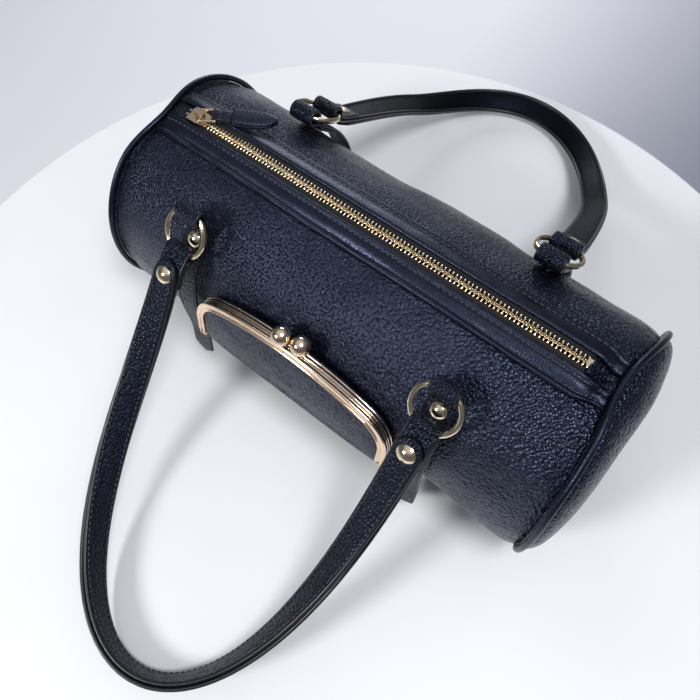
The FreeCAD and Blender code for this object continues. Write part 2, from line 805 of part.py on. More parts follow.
pin_bore = hinge_pin_diameter / 2 + pin_gap
inner_lug = frame_half_width - frame_band + lug_thickness
outer_lug = inner_lug + lug_thickness + metal_gap
front_back = frame_middle + metal_gap / 2
front_face = front_back + frame_depth
rear_half = half_frame(frame_back, frame_back + frame_depth, frame_back, inner_lug)
front_half = half_frame(front_back, front_face, front_face - frame_groove_depth, outer_lug)
save(lean(rear_half), "pocket_frame_rear")
save(lean(front_half), "pocket_frame_front")
pin_start = V(inner_lug - metal_gap, frame_middle, 0)
pin_end = V(outer_lug + lug_thickness + metal_gap, frame_middle, 0)
hinge = rod(pin_start, pin_end, hinge_pin_diameter / 2)
head = ALONG * hinge_head_height
hinge = hinge.fuse([
    rod(pin_start - head, pin_start, hinge_head_diameter / 2),
    rod(pin_end, pin_end + head, hinge_head_diameter / 2),
])
save(lean(hinge), "pocket_hinge_left")
save(lean(hinge.mirror(V(0, 0, 0), ALONG)), "pocket_hinge_right")


def clasp(x, lean_out, seat, frame_solid):
    centre = V(x, frame_middle + lean_out, frame_rise + clasp_ball_diameter / 2 + metal_gap)
    ball = Part.makeSphere(clasp_ball_diameter / 2, centre)
    stem = rod(V(x, seat, frame_rise - frame_groove), V(x, seat, centre.z), clasp_stem_diameter / 2)
    return ball.fuse(stem).removeSplitter().cut(frame_solid)


ball_side = (clasp_ball_diameter + metal_gap) / 2
front_seat = (front_back + front_face) / 2
rear_seat = frame_back + frame_depth / 2
save(lean(clasp(ball_side, clasp_lean, front_seat, front_half)), "clasp_ball_left")
save(lean(clasp(-ball_side, -clasp_lean, rear_seat, rear_half)), "clasp_ball_right")

# Pocket leather: back behind the frame, front inside the front half, pouch below the hinge
back_inset = frame_groove
back_plate = arch(back_inset, lug_radius + metal_gap, layer_gap).extrude(OUT * pocket_leather)
save(lean(back_plate), "pocket_back")
front_inset = frame_band + layer_gap
front_plate = arch(front_inset, lug_radius + metal_gap, front_face - 2 * pocket_leather)
save(lean(front_plate.extrude(OUT * pocket_leather)), "pocket_front")

pouch_top = frame_foot_height - pouch_drop
pouch_skin = barrel_radius + layer_gap


def skin_reach(height):
    return math.sqrt(pouch_skin ** 2 - (axis_height - height) ** 2)


def pouch_block(inset, head):
    """Pouch swelling from the barrel's front, shrunk by the inset and with head room above."""
    low = pouch_bottom_height + inset
    wide = pouch_half_width - inset
    corner = pouch_corner - inset
    rim = V(0, barrel_radius + pouch_front - inset, pouch_top)
    foot = V(0, skin_reach(low), low)
    chord = foot - rim
    chord.normalize()
    belly = (rim + foot) / 2 + V(0, -chord.z, chord.y) * (pouch_belly - inset / 2)
    lip = V(0, skin_reach(pouch_top), pouch_top)
    skin_mid = (foot + lip) / 2 - crest
    skin_mid.normalize()
    edges = [
        arc(rim, belly, foot),
        arc(foot, crest + skin_mid * pouch_skin, lip),
        line(lip, lip + UP * head),
        line(lip + UP * head, rim + UP * head),
        line(rim + UP * head, rim),
    ]
    side = Part.Face(Part.Wire(edges))
    side.translate(V(-wide, 0, 0))
    swell = side.extrude(V(2 * wide, 0, 0))
    high = pouch_top + 2 * head
    slant = corner * (1 - math.sqrt(1 / 2))
    rights = [V(wide, 0, high), V(wide, 0, low + corner)]
    rights = rights + [V(wide - slant, 0, low + slant), V(wide - corner, 0, low)]
    lefts = [V(-p.x, 0, p.z) for p in rights]
    outline = [
        line(lefts[0], rights[0]),
        line(rights[0], rights[1]),
        arc(rights[1], rights[2], rights[3]),
        line(rights[3], lefts[3]),
        arc(lefts[3], lefts[2], lefts[1]),
        line(lefts[1], lefts[0]),
    ]
    return swell.common(Part.Face(Part.Wire(outline)).extrude(OUT * (2 * barrel_radius)))


pouch_head = frame_band
pouch_outer = pouch_block(0, pouch_head)
pouch_outer = pouch_outer.cut(
    block(-barrel_length, barrel_length, 0, 2 * barrel_radius, pouch_top, barrel_height)
)
save(turned(pouch_outer.cut(pouch_block(pocket_leather, 2 * pouch_head))), "pocket_pouch")
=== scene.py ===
import json
import math
from dataclasses import dataclass

import bmesh
import bpy
from mathutils import Matrix, Vector, noise


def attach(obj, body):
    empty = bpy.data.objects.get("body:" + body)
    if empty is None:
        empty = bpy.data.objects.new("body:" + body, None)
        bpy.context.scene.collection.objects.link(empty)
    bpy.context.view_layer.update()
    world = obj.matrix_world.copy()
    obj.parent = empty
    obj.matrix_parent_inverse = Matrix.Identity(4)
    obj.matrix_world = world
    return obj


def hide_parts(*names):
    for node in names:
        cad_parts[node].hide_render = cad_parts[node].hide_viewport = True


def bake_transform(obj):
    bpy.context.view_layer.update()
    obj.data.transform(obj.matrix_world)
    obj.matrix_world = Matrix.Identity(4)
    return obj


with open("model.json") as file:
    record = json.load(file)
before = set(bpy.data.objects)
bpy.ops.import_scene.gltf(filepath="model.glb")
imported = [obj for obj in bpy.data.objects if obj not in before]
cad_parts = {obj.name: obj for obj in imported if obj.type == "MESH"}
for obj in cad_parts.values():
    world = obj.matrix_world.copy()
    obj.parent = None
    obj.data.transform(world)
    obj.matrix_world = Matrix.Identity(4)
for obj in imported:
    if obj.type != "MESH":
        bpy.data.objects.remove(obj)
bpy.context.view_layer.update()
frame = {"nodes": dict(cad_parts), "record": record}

# Lengths below are in millimetres, as in the solids, and go to metres when a mesh is made
MM = 0.001
ALONG = Vector((1, 0, 0))
OUT = Vector((0, 1, 0))

# Barrel
barrel_length = 261.5
barrel_radius = 62.0
axis_height = 51.0
base_corner = 30.0
end_bulge = 10.0
end_crown_margin = 5.0
piping_radius = 1.6
piping_run = 61.2
panel_end = 129.05
leather = 1.8
skin_step = 1.2
dimple_reach = 60.0
hollow_reach = 60.0
seam_steps = 240

# Zip
zip_start = -115.45
zip_end = 110.95
slot_half = 8.0
chain_height = 113.35
row_start = -110.0
row_end = 110.6
tooth_pitch = 2.0
tooth_count = 110
cover_half = 4.6
leaf_pivot = Vector((-99.671, 4.457, 117.3))
pull_yaw = math.radians(33.0)
pull_pitch = math.radians(6.5)
leaf_start = 8.0
leaf_tip = 30.0
leaf_roll = 1.5
neck_width = 6.6

# Rings, chapes and handles
ring_half = 71.5
rivet_angle = 43.95
ring_inner = 10.0
ring_outer = 12.7
chape_width = 14.0
chape_leather = 1.6
chape_run = 64.6
chape_step = 1.7
chape_stand = 9.0
close_angle = 55.0
close_radius = 4.0
lift_radius = 3.0
tail_height = 9.0
tail_point = 5.0
stitch_low = 30.0
stitch_high = 88.0
stitch_limit = 46
strap_width = 15.0
strap_base = 2.0
strap_face = 2.2
layer_gap = 0.1
roll_angle = 70.0
roll_radius = 3.0
roll_leather = 1.7
roll_margin = 5.5
floor_gap = 0.3
loop_grip = 3.5
rivet_margin = 4.8

# Kiss-lock pocket
frame_tilt = math.radians(11.5)
frame_foot_height = 49.0
frame_half_width = 60.0
frame_rise = 39.0
frame_corner = 20.0
frame_crown = 160.0
frame_band = 4.4
frame_depth = 2.9
frame_back = 1.4
front_back = 4.6
front_face = 7.5
front_foot = 3.1
front_puff = 2.6
pouch_rim_y = 69.0
pouch_top = 46.2
pouch_low = 19.0
pouch_half = 55.0
pouch_corner = 18.0
pouch_seat = 62.1
pocket_leather_wall = 1.0


def aim(degrees):
    turn = math.radians(degrees)
    return Vector((0, math.cos(turn), math.sin(turn)))


def turned(v):
    return Vector((-v.x, -v.y, v.z))


def clamp(value, low, high):
    return max(low, min(high, value))


def ease(a, b, value):
    t = clamp((value - a) / (b - a), 0, 1)
    return t * t * (3 - 2 * t)


def bell(distance, width):
    """Fall-off from 1 at no distance towards 0 beyond the width."""
    return math.exp(-(distance / width) ** 2)


def spread(a, b, count):
    """Evenly spaced values from a to b, with so many gaps between them."""
    return [a + (b - a) * k / count for k in range(count + 1)]


def turns(count):
    """Evenly spaced angles round one full turn."""
    return [2 * math.pi * k / count for k in range(count)]


class Nodes:
    """A node tree. Inputs are constants or the outputs of other nodes."""

    def __init__(self, tree):
        self.nodes = tree.nodes
        self.links = tree.links

    def feed(self, node, inputs):
        for key, value in inputs.items():
            if isinstance(value, bpy.types.NodeSocket):
                self.links.new(value, node.inputs[key])
            else:
                node.inputs[key].default_value = value

    def add(self, kind, inputs, **settings):
        node = self.nodes.new("ShaderNode" + kind)
        for key, value in settings.items():
            setattr(node, key, value)
        self.feed(node, inputs)
        return node

    def ramp(self, value, *stops):
        """Colour along stops of (position, colour)."""
        node = self.add("ValToRGB", {"Fac": value})
        elements = node.color_ramp.elements
        for position, _ in stops[1:-1]:
            elements.new(position)
        for element, (position, colour) in zip(elements, stops):
            element.position = position
            element.color = (*colour, 1)
        return node.outputs["Color"]


class Surface(Nodes):
    """A material under construction."""

    def __init__(self, name):
        self.material = bpy.data.materials.new(name)
        self.material.use_nodes = True
        super().__init__(self.material.node_tree)
        self.nodes.clear()
        out = self.nodes.new("ShaderNodeOutputMaterial")
        self.shader = self.nodes.new("ShaderNodeBsdfPrincipled")
        self.links.new(self.shader.outputs["BSDF"], out.inputs["Surface"])
        self.coords = self.add("TexCoord", {}).outputs["Object"]

    def noise(self, scale, detail, rough, vector=None):
        vector = self.coords if vector is None else vector
        inputs = {"Vector": vector, "Scale": scale, "Detail": detail, "Roughness": rough}
        return self.add("TexNoise", inputs).outputs["Fac"]

    def remap(self, value, a, b, low, high):
        inputs = {"Value": value, "From Min": a, "From Max": b, "To Min": low, "To Max": high}
        return self.add("MapRange", inputs).outputs["Result"]

    def math(self, kind, a, b):
        return self.add("Math", {0: a, 1: b}, operation=kind).outputs[0]

    def times(self, a, b):
        return self.math("MULTIPLY", a, b)

    def mix(self, *parts):
        """Sum of values that each have a weight."""
        total = None
        for value, weight in parts:
            part = value if weight == 1 else self.times(value, weight)
            total = part if total is None else self.math("ADD", total, part)
        return total

    def across(self):
        return self.add("SeparateXYZ", {"Vector": self.coords}).outputs["X"]

    def shaken(self, scale, amount):
        """Coordinates pushed about by noise, so that a cell pattern isn't regular."""
        drift = self.add("TexNoise", {"Vector": self.coords, "Scale": scale, "Detail": 1.0}).outputs["Color"]
        centred = self.add("VectorMath", {0: drift, 1: (0.5, 0.5, 0.5)}, operation="SUBTRACT").outputs[0]
        sized = self.add("VectorMath", {0: centred, "Scale": amount}, operation="SCALE").outputs[0]
        return self.add("VectorMath", {0: self.coords, 1: sized}, operation="ADD").outputs[0]

    def pebbles(self, size):
        """Height of one layer of grain: low domes parted by creases."""
        cell = size * MM
        cells = {"Vector": self.shaken(0.5 / cell, 0.5 * cell), "Scale": 1 / cell, "Randomness": 0.95}
        away = self.add("TexVoronoi", {**cells, "Smoothness": 0.15}, feature="SMOOTH_F1").outputs["Distance"]
        edge = self.add("TexVoronoi", cells, feature="DISTANCE_TO_EDGE").outputs["Distance"]
        dome = self.math("SUBTRACT", 1.0, self.times(self.times(away, away), 1.6))
        groove = self.add("MapRange", {"Value": edge, "From Max": 0.14}, interpolation_type="SMOOTHSTEP")
        return self.mix((dome, 0.75), (groove.outputs["Result"], 0.25))

    def bump(self, height, strength, depth):
        """Relief of a depth in millimetres."""
        node = self.add("Bump", {"Height": height, "Strength": strength, "Distance": depth * MM})
        self.feed(self.shader, {"Normal": node.outputs["Normal"]})

    def finish(self, inputs):
        self.feed(self.shader, inputs)
        return self.material


def leather_material(name, sizes, depth, dark, pale, rough, relief, shine):
    """Grained leather with pores, creases and a slow change of colour.

    Of two sizes of pebble, the first lies at the left end of the bag and the second at its right.
    """
    mat = Surface(name)
    slow = mat.noise(26.0, 3.0, 0.55)
    grain = mat.pebbles(sizes[0])
    if len(sizes) > 1:
        along = mat.mix((mat.remap(mat.across(), -0.09, 0.11, -0.25, 0.75), 1), (slow, 0.5))
        share = mat.add("Clamp", {"Value": along}).outputs[0]
        coarse = mat.times(mat.pebbles(sizes[1]), share)
        grain = mat.math("ADD", coarse, mat.times(grain, mat.math("SUBTRACT", 1.0, share)))
    pores = mat.noise(4.0 / (sizes[0] * MM), 2.0, 0.6)
    creases = mat.noise(130.0, 4.0, 0.6)
    mat.bump(mat.mix((grain, 1), (pores, 0.14), (creases, relief)), 1.0, depth)
    # Base colour: painted shade darkens the creases between the pebbles against their tops, mixed with a slow
    # random change of tone
    crease_shade_and_tone = mat.mix((grain, 0.75), (slow, 0.25))
    gloss = mat.mix((grain, 0.7), (slow, 0.3))
    return mat.finish({
        "Base Color": mat.ramp(crease_shade_and_tone, (0.5, dark), (0.8, pale)),
        "Roughness": mat.remap(gloss, 0.2, 0.85, rough + 0.22, rough - 0.05),
        "Specular IOR Level": shine,
        "Specular Tint": (0.51, 0.61, 1.0, 1),
    })


def plain_material(name, dark, pale, rough, scale, depth):
    """Painted or spun surface with fine unevenness in its colour, gloss and relief."""
    mat = Surface(name)
    close = mat.noise(scale, 4.0, 0.6)
    slow = mat.noise(40.0, 2.0, 0.5)
    mat.bump(close, 0.5, depth)
    return mat.finish({
        "Base Color": mat.ramp(mat.mix((close, 0.5), (slow, 0.5)), (0.3, dark), (0.7, pale)),
        "Roughness": mat.remap(close, 0.3, 0.7, rough + 0.06, rough - 0.06),
    })


def metal_material(name, dark, pale, rough):
    """Polished plate: faint clouding, hairline scratches and a slightly uneven polish."""
    mat = Surface(name)
    cloud = mat.noise(220.0, 3.0, 0.6)
    stretch = {"Vector": mat.coords, "Scale": (300.0, 2600.0, 900.0), "Rotation": (0.3, 0.5, 0.7)}
    hair = mat.noise(1.0, 3.0, 0.6, mat.add("Mapping", stretch).outputs["Vector"])
    mat.bump(hair, 0.12, 0.01)
    polish = mat.mix((cloud, 0.6), (hair, 0.4))
    return mat.finish({
        "Metallic": 1.0,
        "Base Color": mat.ramp(cloud, (0.3, dark), (0.7, pale)),
        "Roughness": mat.remap(polish, 0.3, 0.7, rough - 0.05, rough + 0.07),
    })


def woven_material(name, dark, pale, pitch, slant):
    """Cloth with a slanting rib, thread by thread, and soft fuzz."""
    mat = Surface(name)
    slanted = mat.add("Mapping", {"Vector": mat.coords, "Rotation": (0, 0, slant)}).outputs["Vector"]
    threads = {"Vector": slanted, "Scale": 0.314 / (pitch * MM), "Distortion": 0.6}
    rib, weft = (mat.add("TexWave", threads, wave_type="BANDS", bands_direction=way).outputs["Fac"]
                 for way in ("X", "Y"))
    cloth = mat.mix((rib, 0.6), (weft, 0.25), (mat.noise(3000.0, 3.0, 0.6), 0.25))
    mat.bump(cloth, 0.6, 0.15)
    return mat.finish({
        "Base Color": mat.ramp(cloth, (0.2, dark), (0.9, pale)),
        "Roughness": 0.82,
        "Sheen Weight": 0.03,
    })


body_leather = leather_material(
    "leather_pebbled", sizes=(1.25, 1.75), depth=0.52, dark=(0.0005, 0.0007, 0.0020),
    pale=(0.0046, 0.0058, 0.0130), rough=0.17, relief=0.6, shine=0.74)
strap_leather = leather_material(
    "leather_strap_grain", sizes=(1.5,), depth=0.45, dark=(0.0004, 0.0005, 0.0012),
    pale=(0.0030, 0.0037, 0.0070), rough=0.26, relief=0.35, shine=0.42)
# Pocket leather: the same pebbled leather painted paler, as painted reflection of the white table's glare on
# the pocket front and pouch
pocket_leather_painted_glare = leather_material(
    "leather_pocket_painted_glare", sizes=(1.5,), depth=0.60, dark=(0.0130, 0.0140, 0.0200),
    pale=(0.0560, 0.0590, 0.0760), rough=0.30, relief=0.5, shine=0.5)
smooth_leather = leather_material(
    "leather_smooth", sizes=(0.8,), depth=0.06, dark=(0.0006, 0.0008, 0.0020),
    pale=(0.0034, 0.0042, 0.0082), rough=0.24, relief=0.4, shine=0.6)
under_leather = leather_material(
    "leather_underside", sizes=(0.9,), depth=0.08, dark=(0.0006, 0.0007, 0.0013),
    pale=(0.0020, 0.0022, 0.0036), rough=0.36, relief=0.4, shine=0.12)
edge_paint = plain_material(
    "edge_paint", (0.0030, 0.0034, 0.0060), (0.0075, 0.0082, 0.0125), rough=0.34, scale=1800.0, depth=0.05)
thread = plain_material(
    "waxed_thread", (0.020, 0.023, 0.034), (0.066, 0.072, 0.098), rough=0.42, scale=5200.0, depth=0.12)
gold = metal_material("gold_plate", (0.91, 0.75, 0.50), (0.98, 0.85, 0.63), rough=0.11)
gold_back = metal_material("gold_back", (0.86, 0.72, 0.50), (0.93, 0.82, 0.62), rough=0.36)
rose_gold = metal_material("rose_gold_plate", (0.90, 0.68, 0.47), (0.97, 0.79, 0.60), rough=0.11)
tape_cloth = woven_material(
    "tape_weave", (0.0020, 0.0017, 0.0030), (0.0085, 0.0072, 0.0115), pitch=0.5, slant=0.785)
lining_cloth = woven_material("lining_weave", (0.02, 0.02, 0.022), (0.06, 0.058, 0.06), pitch=0.45, slant=0.0)
strap_finish = [strap_leather, edge_paint]


# Mesh helpers
def place(name, data):
    obj = bpy.data.objects.new(name, data)
    bpy.context.collection.objects.link(obj)
    return obj


def new_object(name, points, faces, materials):
    """A mesh object made from points in millimetres."""
    mesh = bpy.data.meshes.new(name)
    mesh.from_pydata([tuple(p * MM) for p in points], [], faces)
    for mat in materials:
        mesh.materials.append(mat)
    return place(name, mesh)


def piece(name, shape, materials, body, stands_for=None, recalc=True):
    """A smooth visible piece on a body. A shape is points, faces and, for two materials, each face's mark."""
    points, faces, *marks = shape
    obj = new_object(name, points, faces, materials)
    mesh = obj.data
    if marks:
        mesh.polygons.foreach_set("material_index", marks[0])
    mesh.polygons.foreach_set("use_smooth", [True] * len(mesh.polygons))
    if recalc:
        work = bmesh.new()
        work.from_mesh(mesh)
        bmesh.ops.recalc_face_normals(work, faces=work.faces)
        work.to_mesh(mesh)
        work.free()
    mesh.update()
    if body:
        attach(obj, body)
    if stands_for:
        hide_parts(stands_for)
    return obj


def add_wall(obj, thickness):
    wall = obj.modifiers.new("wall", "SOLIDIFY")
    wall.thickness = thickness * MM
    wall.offset = -1


def join_parts(parts):
    points = []
    faces = []
    for new_points, new_faces in parts:
        first = len(points)
        points += new_points
        faces += [tuple(first + k for k in face) for face in new_faces]
    return points, faces


def grid_faces(rows, columns):
    """Faces of a grid of points that has so many cells each way."""
    faces = []
    for i in range(rows):
        for k in range(columns):
            a = i * (columns + 1) + k
            faces.append((a, a + 1, a + columns + 2, a + columns + 1))
    return faces


def loft(rings, loop=False, caps=True):
    """Faces between rings of points; with caps, the open ends are closed."""
    count = len(rings[0])
    points = [p for ring in rings for p in ring]
    faces = []
    for i in range(len(rings) if loop else len(rings) - 1):
        j = (i + 1) % len(rings)
        for k in range(count):
            n = (k + 1) % count
            faces.append((i * count + k, i * count + n, j * count + n, j * count + k))
    if caps and not loop:
        faces.append(tuple(range(count - 1, -1, -1)))
        faces.append(tuple(range((len(rings) - 1) * count, len(rings) * count)))
    return points, faces


def strap_profile(width, thick, edge, crown=0.0, dish=0.0, flats=10, arcs=6):
    """Section of a strap as (side, lift, painted): rounded painted edges, a crown above, a dish below."""
    half = width / 2
    flat = half - edge
    rows = []
    for hand, bow in ((1, dish), (-1, crown)):
        for a in spread(-flat, flat, flats):
            rows.append((hand * a, -hand * thick / 2 + bow * (1 - (a / flat) ** 2), 0))
        for turn in spread(-math.pi / 2, math.pi / 2, arcs)[1:-1]:
            rows.append((hand * (flat + edge * math.cos(turn)), hand * thick / 2 * math.sin(turn), 1))
    return rows


def rimmed_profile(width, thick, rim, rise):
    """Section of a strap whose upper face has a rounded rim along each edge, with a groove inside it."""
    half = width / 2
    flat = half - rim
    top = thick / 2
    under = [(a, -top, 0) for a in (-half + 0.6, -half / 2, 0.0, half / 2, half - 0.6)]
    right = [(half - 0.15, -top / 2, 1), (half, 0.0, 1), (half, top, 1)]
    for turn in spread(0, math.pi, 6):
        right.append((half - rim / 2 + rim / 2 * math.cos(turn), top + rise * math.sin(turn), 1))
    right += [(flat - 0.3, top - 0.35, 0), (flat - 0.7, top - 0.2, 0), (flat - 1.2, top - 0.05, 0),
              (flat / 2, top + 0.1, 0)]
    left = [(-a, b, painted) for a, b, painted in reversed(right)]
    return under + right + [(0.0, top + 0.15, 0)] + left


def ribbon(stations, profile):
    """Strap along stations of (point, side, lift, width factor): points, faces and material marks."""
    rings = []
    for point, side, lift, factor in stations:
        rings.append([point + side * (a * factor) + lift * b for a, b, painted in profile])
    points, faces = loft(rings)
    count = len(profile)
    marks = []
    for face in faces:
        if len(face) != 4:
            marks.append(1)
            continue
        k, n = face[0] % count, face[1] % count
        marks.append(1 if profile[k][2] or profile[n][2] else 0)
    return points, faces, marks


def walk(point, heading, moves, step):
    """Points and headings along a path in the upright plane that runs straight or turns."""
    rows = [(point, heading)]
    for size, turn in moves:
        if turn == 0:
            count = max(1, math.ceil(size / step))
            way = aim(heading)
            rows += [(point + way * (size * k / count), heading) for k in range(1, count + 1)]
        else:
            hand = math.copysign(1, turn)
            centre = point + aim(heading + 90) * (hand * size)
            count = max(4, math.ceil(abs(math.radians(turn)) * size / step))
            for k in range(1, count + 1):
                angle = heading + turn * k / count
                rows.append((centre - aim(angle + 90) * (hand * size), angle))
            heading += turn
        point = rows[-1][0]
    return rows


# Places along a stitch with its height and thickness there, both as shares of the thread's radius
stitch_shape = ((0.0, -0.9, 0.55), (0.16, 0.1, 0.9), (0.5, 0.35, 1.0), (0.84, 0.1, 0.9), (1.0, -0.9, 0.55))


class Stitches:
    """Collects stitches of one kind and makes one piece of them."""

    def __init__(self):
        self.parts = []

    def stitch(self, a, b, lift, radius):
        way = (b - a).normalized()
        side = way.cross(lift).normalized()
        rise = side.cross(way).normalized()
        rings = []
        for t, height, size in stitch_shape:
            centre = a.lerp(b, t) + rise * (height * radius)
            rings.append([centre + (side * math.cos(turn) + rise * math.sin(turn)) * (radius * size)
                          for turn in turns(6)])
        self.parts.append(loft(rings))

    def row(self, path, pitch, length, radius):
        """Stitches along a path of (point, lift)."""
        spans = [0.0]
        for (a, u), (b, w) in zip(path, path[1:]):
            spans.append(spans[-1] + (b - a).length)

        def sample(distance):
            for k in range(1, len(spans)):
                if distance <= spans[k] or k == len(spans) - 1:
                    gap = spans[k] - spans[k - 1]
                    t = clamp((distance - spans[k - 1]) / gap if gap else 0, 0, 1)
                    return path[k - 1][0].lerp(path[k][0], t), path[k - 1][1].lerp(path[k][1], t)

        count = int(spans[-1] / pitch)
        margin = (spans[-1] - count * pitch) / 2
        for k in range(count):
            middle = margin + (k + 0.5) * pitch
            a, lift = sample(middle - length / 2)
            b, lift = sample(middle + length / 2)
            self.stitch(a, b, lift, radius)

    def make(self, name, body):
        piece(name, join_parts(self.parts), [thread], body, recalc=False)


class Section:
    """Outline across the barrel: a round top, two rounded corners and a flat base."""

    def __init__(self, radius, corner, base):
        self.radius = radius
        self.corner = corner
        self.base = base
        self.corner_z = base + corner
        self.corner_y = math.sqrt((radius - corner) ** 2 - (axis_height - self.corner_z) ** 2)
        self.corner_turn = math.atan2(self.corner_y, self.corner_z - axis_height)
        self.top_run = radius * self.corner_turn
        self.side_run = self.top_run + corner * (math.pi - self.corner_turn)
        self.half_run = self.side_run + self.corner_y

    def spot(self, s, out=0.0):
        """Point, moved outward, and normal at a run from the crest, which is positive towards the rear."""
        run = abs(s)
        hand = 1 if s >= 0 else -1
        if run >= self.side_run:
            y = self.corner_y - (run - self.side_run)
            return Vector((0, hand * y, self.base - out)), Vector((0, 0, -1))
        if run < self.top_run:
            y, z, radius, turn = 0.0, axis_height, self.radius, run / self.radius
        else:
            y, z, radius = self.corner_y, self.corner_z, self.corner
            turn = self.corner_turn + (run - self.top_run) / self.corner
        y += (radius + out) * math.sin(turn)
        z += (radius + out) * math.cos(turn)
        return Vector((0, hand * y, z)), Vector((0, hand * math.sin(turn), math.cos(turn)))


barrel = Section(barrel_radius, base_corner, 0.0)
half_run = barrel.half_run
rivet_run = barrel_radius * math.radians(90 - rivet_angle)
rivet_spots = [(x, s) for x in (-ring_half, ring_half) for s in (rivet_run, -rivet_run)]


def seam_dip(hand, s):
    """How far the zip's ends draw the end seam down into the barrel."""
    if hand > 0:
        return 2.4 * bell(s + 1, 12) - 0.5 * bell(s + 24, 9)
    return 2.0 * bell(s + 5, 20)


def seam_pull(hand, s):
    """How far the zip's ends draw the end seam towards the middle of the bag."""
    if hand > 0:
        return 5.6 * bell(s - 3, 27) - 1.2 * bell(s + 82, 24)
    return 4.4 * bell(s + 8, 20) - 1.9 * bell(s, 75)


def skin_shift(x, s):
    """How far the soft skin lies inside the plain barrel at one spot."""
    run = abs(s)
    to_end = panel_end - abs(x)
    hand = 1 if x > 0 else -1
    flat = 1 - ease(half_run - 45, half_run - 28, run)
    near_zip = ease(6, 16, run)
    broad = noise.noise(Vector((x * 0.016, s * 0.021, 3.1)))
    medium = noise.noise(Vector((x * 0.045, s * 0.06, 7.7)))
    # Broad dents, then puckers along the end seams
    shift = near_zip * (-1.25 + 2.1 * broad + 0.75 * medium)
    shift -= 0.3 * math.exp(-to_end / 8) * (0.5 + 0.5 * math.sin(s / 2.1 + 4 * medium))
    # Dimples round the rivets
    for rx, rs in rivet_spots:
        dx = x - rx
        ds = s - rs
        r2 = dx * dx + ds * ds
        if r2 < dimple_reach ** 2:
            ripple = math.cos(5 * math.atan2(ds, dx) + 3 * broad)
            shift -= 0.45 * math.exp(-r2 / 420) * (0.7 + 0.3 * ripple)
    # Hollow beside the facing strips
    if run < hollow_reach:
        ripple = noise.noise(Vector((x * 0.07, s * 0.03, 1.3)))
        shift -= near_zip * 0.5 * bell(run - 22, 9) * (0.5 + 0.6 * ripple)
    # Rounding towards the piping and the seam's own dip
    shift -= bell(to_end, 7 if hand > 0 else 5)
    shift *= flat
    shift -= 1.3 * math.exp(-to_end / 1.8)
    shift -= seam_dip(hand, s) * bell(to_end, 15) * flat
    # Wrinkled pinch at the right end of the zip
    pinch = math.exp(-((x - 121.5) / 6.0) ** 2 - ((s + 1.5) / 12.5) ** 2)
    folds = math.sin(x * 1.9 + 0.5 * s + 3 * medium) * 0.6 + math.sin(s * 1.2 - 0.8 * x) * 0.5
    shift -= pinch * (2.2 + folds)
    return min(shift, 0.0)


def skin_point(x, s, out=0.0):
    point = barrel.spot(s, out + skin_shift(x, s))[0]
    hand = 1 if x > 0 else -1
    drawn = seam_pull(hand, s) * bell(panel_end - abs(x), 11)
    return Vector((x - hand * drawn, point.y, point.z))


def skin_grid(x0, x1, s0, s1, nx, ns, out=0.0):
    points = []
    for x in spread(x0, x1, nx):
        for s in spread(s0, s1, ns):
            points.append(skin_point(x, s if s <= half_run else s - 2 * half_run, out))
    return points, grid_faces(nx, ns)


fine = 1.0


def steps(length, size):
    return max(2, int(length / size * fine))


slot_run = barrel_radius * math.asin(slot_half / barrel_radius)
around = 2 * half_run - 2 * slot_run
shape = join_parts([
    skin_grid(-panel_end, panel_end, slot_run, slot_run + around,
              steps(2 * panel_end, skin_step), steps(around, skin_step)),
    skin_grid(-panel_end, zip_start, -slot_run, slot_run, 12, 14),
    skin_grid(zip_end, panel_end, -slot_run, slot_run, 16, 14),
])
skin = piece("barrel_skin", shape, [body_leather], "bag", "body_panel")
add_wall(skin, leather)

# Lining inside the skin, open under the zip
lining_out = -4.6
lining_end = panel_end - 2
lining_steps = 90
edge_run = slot_run + 2
parts = [skin_grid(-lining_end, lining_end, edge_run, 2 * half_run - edge_run, 60, lining_steps, lining_out)]
for x in (-lining_end, lining_end):
    runs = spread(slot_run, slot_run + around, lining_steps)
    ring = [skin_point(x, s if s < half_run else s - 2 * half_run, lining_out) for s in runs]
    middle = Vector((x, 0, axis_height))
    parts.append((ring + [middle], [(k, k + 1, lining_steps + 1) for k in range(lining_steps)]))
piece("lining_cloth", join_parts(parts), [lining_cloth], "bag", "lining")


# Piping round the end seams and the domed end panels
def seam_loop(x, offset):
    """Points round the end seam with their normals and runs, offset outward from the middle of the piping."""
    seam = Section(piping_run + offset, base_corner + offset, piping_radius - offset)
    loop = []
    for s in spread(-seam.half_run, seam.half_run, seam_steps)[:-1]:
        point, normal = seam.spot(s)
        loop.append((point + ALONG * x, normal, s))
    return loop


def end_height(t):
    return end_bulge * math.sqrt(max(0.0, 1 - (1 - t) ** 2))


